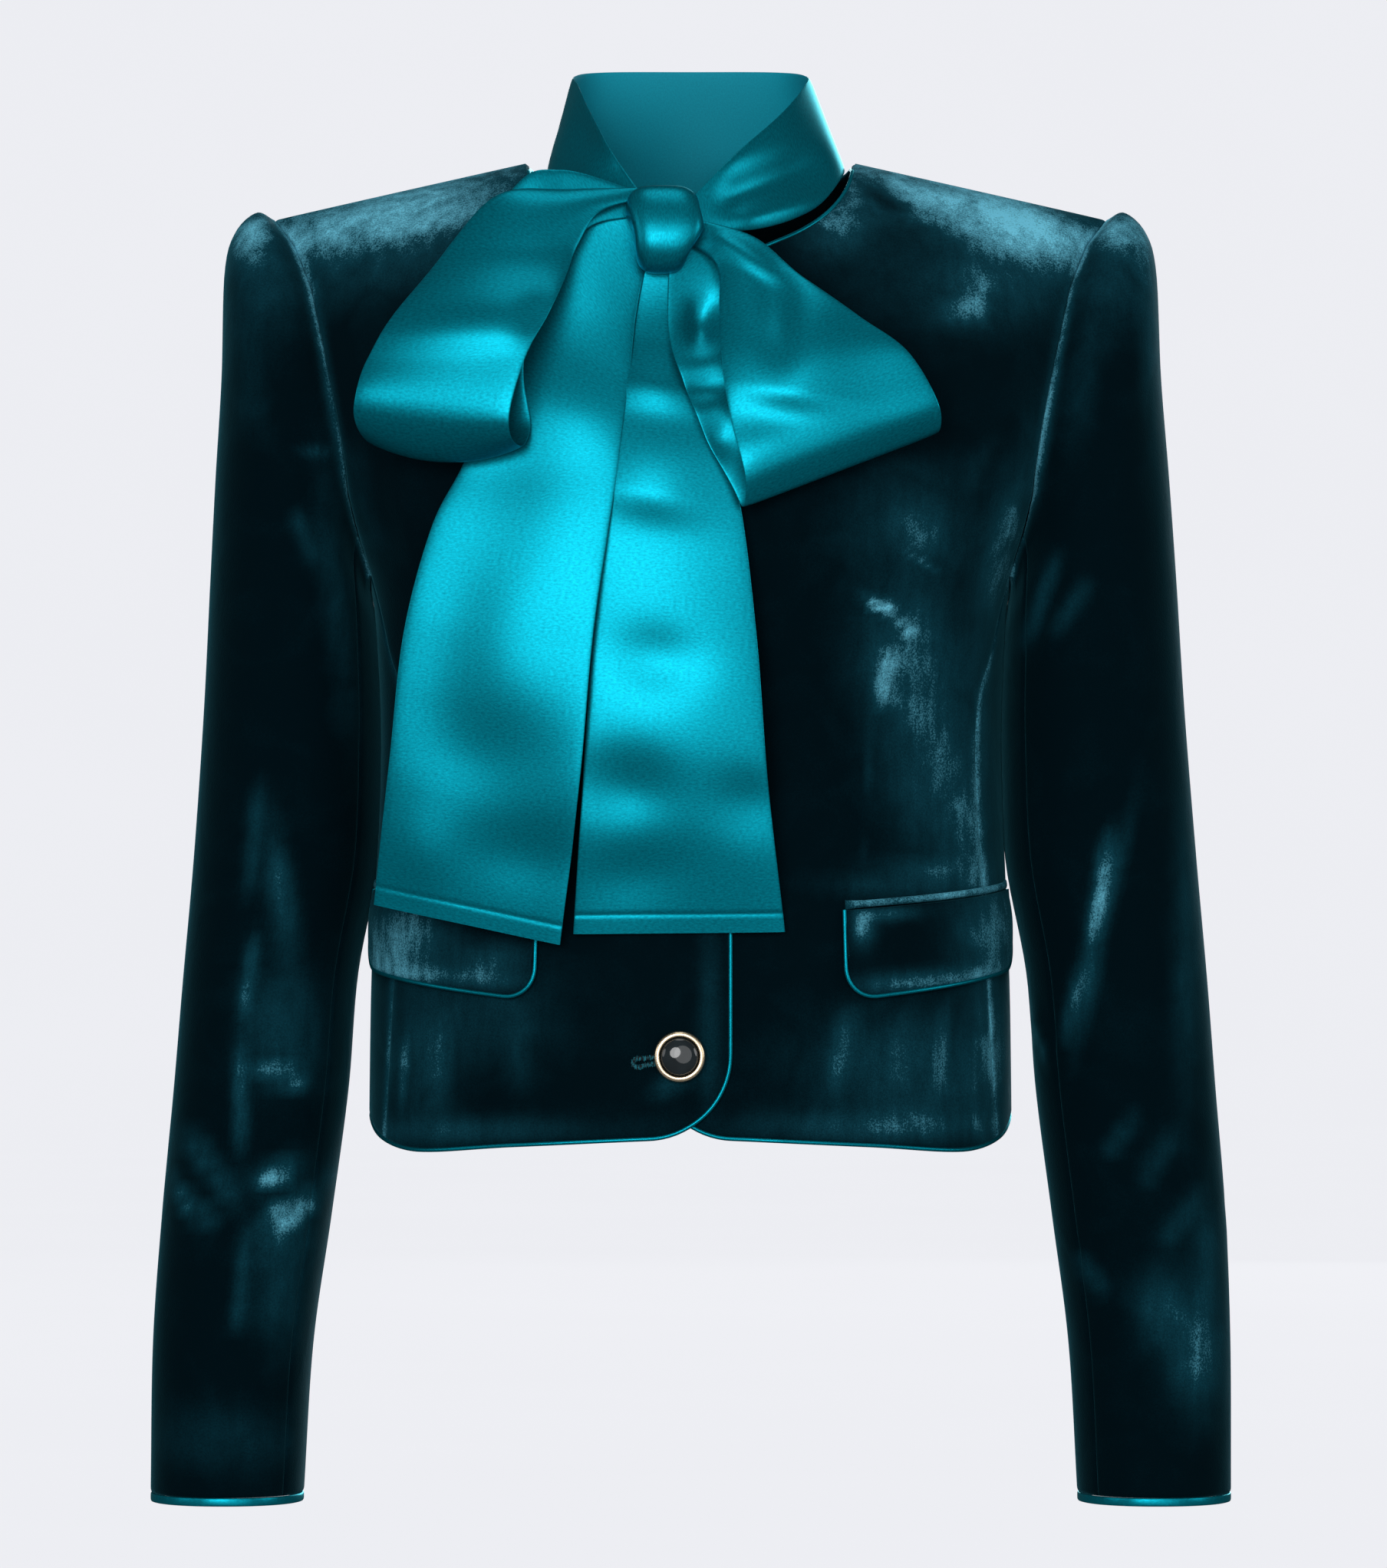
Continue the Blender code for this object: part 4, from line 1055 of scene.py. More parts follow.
def ribbon_object(name, tie, sizes, looks):
    """A ribbon of satin: a flat tube with rounded edges about a sheet that folds, drapes and swells bend.

    Each face stands half the thickness off the sheet, less towards the edges: sqrt(1 - |2v - 1|^8). The
    front layer's folds act before the turn of a loop, the back layer's after it. A hem turned up at the end
    shows as a pressed line: exp(-q^2). The first look is for the face towards the normals, the second for the
    other one.
    """
    ribbon, turn = tie["ribbon"], tie["turn"]
    hem_height = sizes.tail_hem if tie["held"] == "hung" else 0
    last = len(ribbon["a_x"]) - 1
    share = np.linspace(0, 1, RIBBON_ROWS)
    place = last * (share if hem_height == 0 else 1 - (1 - share) ** RIBBON_GRADE)
    across = graded(RIBBON_COLUMNS)
    grid = ribbon_grid(ribbon, place, across)
    front = np.ones(RIBBON_ROWS) if turn is None else eased(turn + 0.5 - place)
    weights = [np.broadcast_to(part[:, None], grid.shape[:2]) for part in (front, 1 - front)]
    plain = normals_of(grid)
    depth = folded(grid, weights, tie["folds"])[0] - draped(grid, weights, tie["drapes"])
    depth -= spotted(grid, weights, tie["swells"]) * MM
    length = lengths_along(grid, 0)
    if hem_height > 0:
        above = (length[-1:] - length) / hem_height - 1
        depth += HEM_GROOVE * np.exp(-((above / HEM_LINE) ** 2))
    towards_front = np.where(plain[..., 1] > 0, -1.0, 1.0)
    held = place if turn is None else np.minimum(place, last - place)
    base = grid - plain * (depth * towards_front * eased(held)[:, None])[..., None]
    normals = normals_of(base)
    half = sizes.satin_thickness / 2 * np.sqrt(1 - np.abs(2 * across - 1) ** RIBBON_EDGE_POWER)
    one = base + normals * half[None, :, None]
    other = base - normals * half[None, :, None]
    rings = np.concatenate([one, other[:, -2:0:-1]], axis=1)
    width = lengths_along(grid, 1)
    uv = np.stack([width, np.broadcast_to(length.mean(axis=1)[:, None], width.shape)], axis=-1)
    uv = np.concatenate([uv, uv[:, -2:0:-1]], axis=1).reshape(-1, 2)
    rows, columns = grid.shape[:2]
    count = rings.shape[1]
    inner = np.arange(1, columns - 1)
    strip = np.stack([inner[:-1], inner[1:], count - inner[1:], count - inner[:-1]], axis=1)
    corner = np.array([(0, 1, count - 1), (columns - 2, columns - 1, columns)])
    low = [part[:, ::-1] for part in (strip, corner)]
    high = [part + (rows - 1) * count for part in (strip, corner)]
    faces = [quads_of(rows, count, around=True), *low, *high]
    made = make_object(name, rings.reshape(-1, 3), faces, uv, looks[0])
    if len(looks) > 1:
        made.data.materials.append(looks[1])
        inside = np.zeros(len(made.data.polygons), np.int32)
        inside[: rows * count - count].reshape(rows - 1, count)[:, columns - 1 :] = 1
        made.data.polygons.foreach_set("material_index", inside)
    return made, grid


def linear(colour):
    """A hex sRGB colour as linear red, green, blue and full alpha."""
    channels = [int(colour[start : start + 2], 16) / 255 for start in (1, 3, 5)]
    return tuple(c / 12.92 if c <= 0.04045 else ((c + 0.055) / 1.055) ** 2.4 for c in channels) + (1.0,)


def add_node(tree, kind, inputs=None, **settings):
    """A node with its settings, its inputs given by name or number as values or as sockets to link."""
    made = tree.nodes.new(kind)
    for name, value in settings.items():
        setattr(made, name, value)
    for name, value in (inputs or {}).items():
        if isinstance(value, bpy.types.NodeSocket):
            tree.links.new(value, made.inputs[name])
        else:
            made.inputs[name].default_value = value
    return made


def noise(tree, place, size, detail, **inputs):
    """The grey value of a noise with features of about this size."""
    inputs |= {"Vector": place, "Scale": 1 / size, "Detail": detail}
    return add_node(tree, "ShaderNodeTexNoise", inputs).outputs["Fac"]


def stretched(tree, place, scale):
    """A place scaled along each axis."""
    return add_node(tree, "ShaderNodeMapping", {"Vector": place, "Scale": scale}).outputs[0]


def ranged(tree, value, start, end, to_start=0.0, to_end=1.0, kind="LINEAR"):
    """A value carried from one range to another and held at its ends."""
    inputs = {"Value": value, "From Min": start, "From Max": end, "To Min": to_start, "To Max": to_end}
    return add_node(tree, "ShaderNodeMapRange", inputs, interpolation_type=kind).outputs[0]


def product(tree, first, second, added=None):
    """Two values multiplied, and a third added where there is one."""
    inputs = {0: first, 1: second}
    if added is None:
        return add_node(tree, "ShaderNodeMath", inputs, operation="MULTIPLY").outputs[0]
    return add_node(tree, "ShaderNodeMath", inputs | {2: added}, operation="MULTIPLY_ADD").outputs[0]


def mixed(tree, share, first, second):
    """A colour a share of the way from one to another, each a socket or red, green and blue."""
    ends = [end if isinstance(end, bpy.types.NodeSocket) else (*end, 1) for end in (first, second)]
    inputs = {"Factor": share, MIX_A: ends[0], MIX_B: ends[1]}
    return add_node(tree, "ShaderNodeMix", inputs, data_type="RGBA").outputs[MIX_RESULT]


def bumped(tree, shader, height, strength, distance):
    """Gives a shader the bumps of a height."""
    bump = add_node(tree, "ShaderNodeBump", {"Height": height, "Strength": strength, "Distance": distance})
    tree.links.new(bump.outputs[0], shader.inputs["Normal"])


def principled(name, constants):
    """A material with one Principled shader, its constant numbers set on the shader's own sockets."""
    made = bpy.data.materials.new(name)
    made.use_nodes = True
    shader = made.node_tree.nodes["Principled BSDF"]
    for socket, value in constants.items():
        shader.inputs[socket].default_value = value
    return made, made.node_tree, shader


# Node socket numbers of Mix in colour mode
MIX_A, MIX_B, MIX_RESULT = 6, 7, 2
# Sizes of the patterns, in metres. The tuft of the pile is really about 0.2 mm and the satin's threads
# 0.1 mm. Both are drawn coarser, so that they show in the render.
CRUSH_SIZE = 24 * MM
STROKE_SIZE = 5 * MM
STROKE_STRETCH = (1, 1, 0.25)
TUFT_SIZE = 0.8 * MM
PILE_BUMP = 1.2 * MM
PILE_TUFTS = 0.35  # share of the tufts in the pile's height
FAINT_NAP = 0.08  # how much of the crush shows where no sheen is painted
THREAD_SIZE = 0.9 * MM
THREAD_LENGTH = 1.8 * MM
THREAD_BUMP = 0.3 * MM
RUB_SIZE = 0.9 * MM
CLOUD_SIZE = 6 * MM
STITCH_SIZE = 0.6 * MM
STITCH_STRETCH = (1, 1, 0.2)


def velvet_material(colours):
    """Silk velvet: a cut pile, almost black end on, bright seen along; its colour carries painted highlights
    and shade, in part crushed pile.
    """
    made, tree, shader = principled(
        "cut pile velvet",
        {
            "Roughness": 0.92,
            "Specular IOR Level": 0.06,
            "Specular Tint": (0.2, 0.7, 0.85, 1.0),
            "Sheen Weight": 0.36,
            "Sheen Roughness": 0.36,
            "Sheen Tint": (*colours.velvet_sheen, 1.0),
        },
    )
    place = add_node(tree, "ShaderNodeTexCoord").outputs["Object"]
    # The painted sheen and painted shade that each point carries, in part crushed pile
    lit_and_brushed = add_node(tree, "ShaderNodeAttribute", attribute_name="nap_and_painted_sheen").outputs["Fac"]
    crush = noise(tree, place, CRUSH_SIZE, 3, Roughness=0.42, Distortion=0.8)
    stroke = noise(tree, stretched(tree, place, STROKE_STRETCH), STROKE_SIZE, 3)
    tuft = noise(tree, place, TUFT_SIZE, 2)
    patch = ranged(tree, crush, 0.28, 0.72, 0.78, 1.14, "SMOOTHSTEP")
    streak = ranged(tree, stroke, 0.3, 0.7, 0.8, 1.2)
    speck = ranged(tree, tuft, 0.3, 0.7, 0.72, 1.28)
    nap_and_sheen_level = product(tree, product(tree, lit_and_brushed, patch), streak)
    nap_and_sheen_level = product(tree, product(tree, crush, FAINT_NAP, nap_and_sheen_level), speck)
    # Deep where no sheen is painted, through middle to bright where the painted sheen is strongest
    rising = ranged(tree, nap_and_sheen_level, 0.04, 0.75)
    bright = ranged(tree, nap_and_sheen_level, 0.5, 1.5)
    deep = mixed(tree, rising, colours.velvet_deep, colours.velvet_middle)
    colour = mixed(tree, bright, deep, colours.velvet_bright)
    tree.links.new(colour, shader.inputs["Base Color"])
    bumped(tree, shader, product(tree, tuft, PILE_TUFTS, crush), 0.35, PILE_BUMP)
    return made


def satin_material(colours):
    """Heavy satin: long floating threads that lie side by side, so it mirrors softly in its own colour."""
    made, tree, shader = principled(
        "heavy satin",
        {
            "Metallic": 0.78,
            "Roughness": 0.35,
            "Specular IOR Level": 0.2,
            "Specular Tint": (0.2, 0.8, 0.85, 1.0),
        },
    )
    place = add_node(tree, "ShaderNodeUVMap", uv_map=UV_NAME).outputs[0]
    lain = stretched(tree, place, (1 / THREAD_LENGTH, 1 / THREAD_SIZE, 1))
    thread = noise(tree, lain, 1, 3, Roughness=0.6)
    colour = mixed(tree, ranged(tree, thread, 0.25, 0.75), colours.satin_shade, colours.satin_light)
    tree.links.new(colour, shader.inputs["Base Color"])
    bumped(tree, shader, thread, 0.12, THREAD_BUMP)
    return made


def dull_satin_material(colours):
    """The dull side of heavy satin: short crossings of its threads, matt and evenly lit."""
    made, tree, shader = principled("satin, dull side", {"Roughness": 0.75, "Specular IOR Level": 0.2})
    place = add_node(tree, "ShaderNodeUVMap", uv_map=UV_NAME).outputs[0]
    cross = noise(tree, place, THREAD_SIZE, 2, Roughness=0.6)
    colour = mixed(tree, cross, colours.dull_shade, colours.dull_light)
    tree.links.new(colour, shader.inputs["Base Color"])
    bumped(tree, shader, cross, 0.15, THREAD_BUMP)
    return made


def gold_material(colours):
    """Polished pale gold plate, turned and buffed: a mirror with faint rub marks."""
    made, tree, shader = principled("polished pale gold", {"Metallic": 1.0})
    place = add_node(tree, "ShaderNodeTexCoord").outputs["Object"]
    rub = noise(tree, place, RUB_SIZE, 4)
    tree.links.new(ranged(tree, rub, 0, 1, 0.22, 0.36), shader.inputs["Roughness"])
    tree.links.new(mixed(tree, rub, colours.gold, colours.gold_light), shader.inputs["Base Color"])
    return made


def stone_material(colours):
    """A polished cabochon of dark resin stone: glossy, with faint smoky clouding."""
    made, tree, shader = principled("polished dark stone", {"Roughness": 0.07, "IOR": 1.54})
    place = add_node(tree, "ShaderNodeTexCoord").outputs["Object"]
    cloud = noise(tree, place, CLOUD_SIZE, 3)
    tree.links.new(mixed(tree, cloud, colours.stone, colours.stone_light), shader.inputs["Base Color"])
    return made


def thread_material(colours):
    """Silk buttonhole thread: matt stitches side by side, a little brighter than the velvet."""
    made, tree, shader = principled("silk buttonhole thread", {"Roughness": 0.7, "Specular IOR Level": 0.2})
    place = add_node(tree, "ShaderNodeTexCoord").outputs["Object"]
    twist = noise(tree, stretched(tree, place, STITCH_STRETCH), STITCH_SIZE, 1)
    colour = mixed(tree, ranged(tree, twist, 0.42, 0.62), colours.velvet_deep, colours.thread)
    tree.links.new(colour, shader.inputs["Base Color"])
    return made


MATERIALS = {
    "cut pile velvet": velvet_material,
    "heavy satin": satin_material,
    "satin, dull side": dull_satin_material,
    "polished pale gold": gold_material,
    "polished dark stone": stone_material,
    "silk buttonhole thread": thread_material,
}


def look(context, name):
    """The material of a name, made once."""
    return bpy.data.materials.get(name) or MATERIALS[name](context.scene.jacket_colours)


# The knot: how far its left and right ends reach at its foot, its middle and its top, in millimetres
KNOT = table("left right", (-25.5, -1.5), (-26.5, 6), (-30, 4.4))
KNOT_MIDDLE = np.array((-104.5, -37.6)) * MM
KNOT_HALF = np.array((13.0, 20.6)) * MM
KNOT_POWER = 2.0
KNOT_END = 0.3
KNOT_END_POWER = 3.2
KNOT_FULL = 0.22  # how much fuller the knot is at its foot than at its top
# The ring's profile: radius and height, from its inner foot round the outside to its inner lip
RING_PROFILE = table(
    "radius height",
    (9.1, 0.1), (10.2, 0), (11.3, 0.1), (11.8, 0.5), (11.95, 1.3), (11.9, 2.4), (11.75, 3.1),
    (11.4, 3.6), (10.9, 3.9), (10.4, 4), (9.9, 3.98), (9.55, 3.85), (9.4, 3.6), (9.35, 3.2),
    (9.2, 2.9), (9.08, 2.6), (9.05, 1.2),
)
STONE_RADIUS = 9.0 * MM
STONE_SHOULDER = 2.3 * MM
STONE_LAST = 88  # degrees up the dome at which the top's fan takes over
# The worked buttonhole: its two ends on the right front, half its width, and its thread
HOLE_ENDS = np.array(((-26.4, -425.3), (-8.0, -422.4))) * MM
HOLE_HALF = 1.6 * MM
HOLE_THREAD = 1.25 * MM
HOLE_STITCH = 1.0 * MM
HOLE_TACK = 4.0 * MM
HOLE_OUT = 0.3 * MM
HOLE_END_POWER = 0.55  # how blunt the loop's ends are
HOLE_SIDE_POWER = 0.9
HOLE_TACK_SWELL = 0.7  # how much wider the loop is at its tack
STITCH_SWELL = 0.2


def knot_rings():
    """Rings of the knot along x: superellipses of height and depth, drawn in at its ends."""
    along_knot = np.sin(np.linspace(math.pi / 2, -math.pi / 2, KNOT_ROWS))[:, None]
    turn = turns(KNOT_COLUMNS)[None, :]
    high = signed_power(np.sin(turn), 2 / KNOT_POWER)
    deep = signed_power(np.cos(turn), 2 / KNOT_POWER)
    size = np.clip(1 - np.abs(along_knot) ** KNOT_END_POWER, 0, 1) ** (1 / KNOT_END_POWER)
    size = KNOT_END + (1 - KNOT_END) * size
    left = smooth(KNOT["left"], 1 + high)
    right = smooth(KNOT["right"], 1 + high)
    x = (left + right) / 2 + (right - left) / 2 * along_knot
    y = KNOT_MIDDLE[0] - KNOT_HALF[0] * size * deep * (1 - KNOT_FULL * high)
    z = KNOT_MIDDLE[1] + KNOT_HALF[1] * size * high
    return np.stack(np.broadcast_arrays(x, y, z), axis=-1)


def ring_object(name, rings, look):
    """A closed loop of closed rings: rows and columns both join their last to their first."""
    rows, columns = rings.shape[:2]
    faces = [quads_of(rows, columns, around=True, over=True)]
    return make_object(name, rings.reshape(-1, 3), faces, uv_of(rings), look)


def button_rings(radius, height):
    """A profile of radius and height turned about the button's axis, which points forward."""
    place = moved_out(torso_angle(BUTTON_X, np.array(BUTTON_Z)), np.array(BUTTON_Z), BUTTON_STANDOFF)
    turn = turns(BUTTON_AROUND)[None, :]
    x = place[0] + radius[:, None] * np.cos(turn)
    y = place[1] - height[:, None] + 0 * turn
    z = place[2] + radius[:, None] * np.sin(turn)
    return np.stack([x, y, z], axis=-1)


def cuff_rings(ring):
    """A rounded band below a sleeve's last ring: a superellipse of its wall and drop carried round it."""
    turn = turns(CUFF_SIDES)[:, None, None]
    inward = unit(np.cross(np.roll(ring, -1, axis=0) - np.roll(ring, 1, axis=0), (0.0, 0.0, 1.0)))
    inward *= np.sign(((ring.mean(axis=0) - ring) * inward).sum())
    deep = CUFF_WALL / 2 * (1 - signed_power(np.cos(turn), CUFF_POWER))
    low = -CUFF_DROP / 2 * (1 - signed_power(np.sin(turn), CUFF_POWER))
    return ring[None] + inward[None] * deep + np.array((0.0, 0.0, 1.0)) * low


def hole_path():
    """The line of the buttonhole's stitches: a long loop with round ends, laid on the right front."""
    turn = turns(HOLE_POINTS)
    run = HOLE_ENDS[1] - HOLE_ENDS[0]
    length = np.linalg.norm(run)
    run /= length
    long = signed_power(np.cos(turn), HOLE_END_POWER) * length / 2
    tack = 1 + HOLE_TACK_SWELL * eased(-1 - long / HOLE_TACK)
    wide = signed_power(np.sin(turn), HOLE_SIDE_POWER) * HOLE_HALF * tack
    place = HOLE_ENDS.mean(axis=0) + long[:, None] * run + wide[:, None] * np.array((-run[1], run[0]))
    angle = torso_angle(place[:, 0], place[:, 1])
    return moved_out(angle, place[:, 1], np.full(len(place), HOLE_OUT)), torso_normal(angle, place[:, 1])


def hole_rings():
    """Stitches side by side: rings round the loop whose size rises and falls once for each stitch."""
    path, side = (np.vstack([values, values[:1]]) for values in hole_path())
    path, side = (values[:-1] for values in resampled(path, side, HOLE_STITCH / STITCH_POINTS))
    run = unit(np.roll(path, -1, axis=0) - np.roll(path, 1, axis=0))
    across = np.cross(run, side)
    turn = turns(CORD_SIDES)[None, :, None]
    wave = np.arange(len(path)) * 2 * math.pi / STITCH_POINTS
    swell = 1 + STITCH_SWELL * np.cos(wave)[:, None, None]
    reach = np.cos(turn) * across[:, None] * HOLE_THREAD + np.sin(turn) * side[:, None] * HOLE_THREAD / 2
    return path[:, None] + swell * reach


def colour_property(name, description, value):
    """A colour that a user may change, from its hex value."""
    return bpy.props.FloatVectorProperty(
        name=name, description=description, subtype="COLOR", size=3, min=0, max=1, default=linear(value)[:3]
    )


def size_property(name, description, value):
    """A size that a user may change, from its value in millimetres."""
    return bpy.props.FloatProperty(name=name, description=description, default=value * MM, unit="LENGTH")


class JacketColours(bpy.types.PropertyGroup):
    """Colours of the jacket's materials."""

    velvet_deep: colour_property("Velvet, deep", "The pile seen end on", "#010c12")
    # The middle and bright velvet colours are the painted sheen: in part crushed pile, in part painted
    # highlights where light falls
    velvet_middle: colour_property("Velvet, middle", "The pile partly brushed", "#114452")
    velvet_bright: colour_property("Velvet, bright", "The pile brushed flat", "#6cc0d8")
    velvet_sheen: colour_property("Velvet, sheen", "The light caught along the pile", "#3f90a2")
    satin_shade: colour_property("Satin, shade", "The satin between its threads", "#026374")
    satin_light: colour_property("Satin, light", "The satin on its threads", "#058a9c")
    dull_shade: colour_property("Dull side, shade", "The satin's dull side between its threads", "#007488")
    dull_light: colour_property("Dull side, light", "The satin's dull side on its threads", "#0298ae")
    gold: colour_property("Gold", "The button's ring", "#d9bd94")
    gold_light: colour_property("Gold, rubbed", "The ring where it is rubbed", "#f0dfc4")
    stone: colour_property("Stone", "The button's cabochon", "#0a1114")
    stone_light: colour_property("Stone, clouded", "The cabochon where it is clouded", "#1d282c")
    thread: colour_property("Thread", "The buttonhole's thread", "#14606d")
    floor: colour_property("Floor", "The studio's floor and backdrop", "#edeef3")


class JacketSizes(bpy.types.PropertyGroup):
    """Sizes of the jacket's trims."""

    piping_radius: size_property("Piping radius", "Half the width of the satin piping", 1.0)
    satin_thickness: size_property("Satin thickness", "With which the tie's satin is drawn", 1.6)
    tail_hem: size_property("Tail hem", "How deep the hem of a tail is turned up", 9.0)
    flap_bulge: size_property("Flap bulge", "How far a flap's middle stands out", 0.9)
    welt_bulge: size_property("Welt bulge", "How far a welt's middle stands out", 1.3)


class JACKET_OT_velvet_body(bpy.types.Operator):
    """Makes the two fronts, the side panels and the back"""

    bl_idname = "jacket.velvet_body"
    bl_label = "Velvet body"

    def execute(self, context):
        velvet = look(context, "cut pile velvet")
        plain = torso(*front_places())
        inset = plain - normals_of(plain) * underlap(plain[..., 0])[..., None]
        side = torso(*side_places())
        back = torso(*back_places())
        edges = "start end bottom top"
        for node, grid, folds, sewn, rests_on in (
            ("front_left", inset, FRONT_LEFT_FOLDS, "end", ["back", "side_left"]),
            ("front_right", mirrored(plain), FRONT_RIGHT_FOLDS, "end", ["back", "side_right"]),
            ("side_left", side, SIDE_FOLDS, "start end top", ["front_left", "back"]),
            ("side_right", mirrored(side), SIDE_FOLDS, "start end bottom", ["front_right", "back"]),
            ("back", back, BACK_FOLDS, "start end", ["front_left", "front_right"]),
        ):
            name = f"velvet_{node}"
            made = wall_object(name, grid, edges, velvet, folds, BODY_NAP_AND_PAINTED_SHEEN, "start end", sewn, BODY_SEAM_HIGHLIGHT)
            declare(node, grid)
        return {"FINISHED"}


class JACKET_OT_velvet_sleeves(bpy.types.Operator):
    """Makes the upper and the under piece of each sleeve"""

    bl_idname = "jacket.velvet_sleeves"
    bl_label = "Velvet sleeves"

    def execute(self, context):
        velvet = look(context, "cut pile velvet")
        section = runs((0, ARMHOLE_BLEND, SLEEVE_ROWS[0]), (ARMHOLE_BLEND, SLEEVE_LAST, SLEEVE_ROWS[1]))
        upper = runs((SLEEVE_SEAM_SHARE, 1, SLEEVE_TOP_COLUMNS))
        lower = runs((0, SLEEVE_SEAM_SHARE, SLEEVE_UNDER_COLUMNS))
        back_edge = armhole_edge(BACK_OUTER, upper[::-1])
        top = np.concatenate([armhole_edge(FRONT_OUTER, upper), back_edge[1:]])
        under = np.concatenate(
            [
                armhole_edge(BACK_OUTER, lower[::-1])[:-1],
                armhole_under(runs((0, 1, UNDERARM_COLUMNS))),
                armhole_edge(FRONT_OUTER, lower)[1:],
            ]
        )
        for side, lean, folds in (("left", 1, SLEEVE_LEFT_FOLDS), ("right", -1, SLEEVE_RIGHT_FOLDS)):
            for part, loop in (("top", top), ("under", under)):
                grid = sleeve_grid(loop + (SEAM_GAP, 0, 0), section, lean)[::-1]
                edges, held, sewn = "start end bottom", "top", "start end top"
                if side == "right":
                    grid = mirrored(grid)
                    edges, held, sewn = flipped(edges), flipped(held), flipped(sewn)
                node = f"sleeve_{side}_{part}"
                name = f"velvet_{node}"
                made = wall_object(name, grid, edges, velvet, folds, SLEEVE_NAP_AND_PAINTED_SHEEN, held, sewn, SLEEVE_SEAM_HIGHLIGHT)
                declare(node, grid)
        return {"FINISHED"}


class JACKET_OT_pockets(bpy.types.Operator):
    """Makes the pocket flaps and the welts above them"""

    bl_idname = "jacket.pockets"
    bl_label = "Pocket flaps and welts"

    def execute(self, context):
        velvet = look(context, "cut pile velvet")
        sizes = context.scene.jacket_sizes
        angle, top, bottom = flap_places(graded(FLAP_COLUMNS))
        up = graded(FLAP_ROWS)[:, None]
        z = bottom + (top - bottom) * up
        wide = np.broadcast_to(angle, z.shape)
        out = FLAP_OUT + FLAP_FLARE * (top - z) / FLAP_DEPTH_FRONT + sizes.flap_bulge * np.sin(math.pi * up)
        flap = moved_out(wide, z, out)
        up = graded(WELT_ROWS)[:, None]
        strip = top + WELT_GAP + (WELT_HEIGHT - WELT_GAP) * up
        ends = eased(np.sin(math.pi * graded(FLAP_COLUMNS)) / WELT_END)
        rise = WELT_LOW + sizes.welt_bulge * np.sin(math.pi * up) * ends
        welt = moved_out(np.broadcast_to(angle, strip.shape), strip, rise)
        edges = "start end bottom top"
        for side, flap_grid, welt_grid in (
            ("left", flap, welt),
            ("right", mirrored(flap), mirrored(welt)),
        ):
            sewn = wall_object(f"velvet_welt_{side}", welt_grid, edges, velvet, (), WELT_NAP_AND_PAINTED_SHEEN)
            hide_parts(f"welt_{side}")
            made = wall_object(f"velvet_flap_{side}", flap_grid, edges, velvet, (), FLAP_NAP_AND_PAINTED_SHEEN)
            declare(f"flap_{side}", flap_grid)
        return {"FINISHED"}


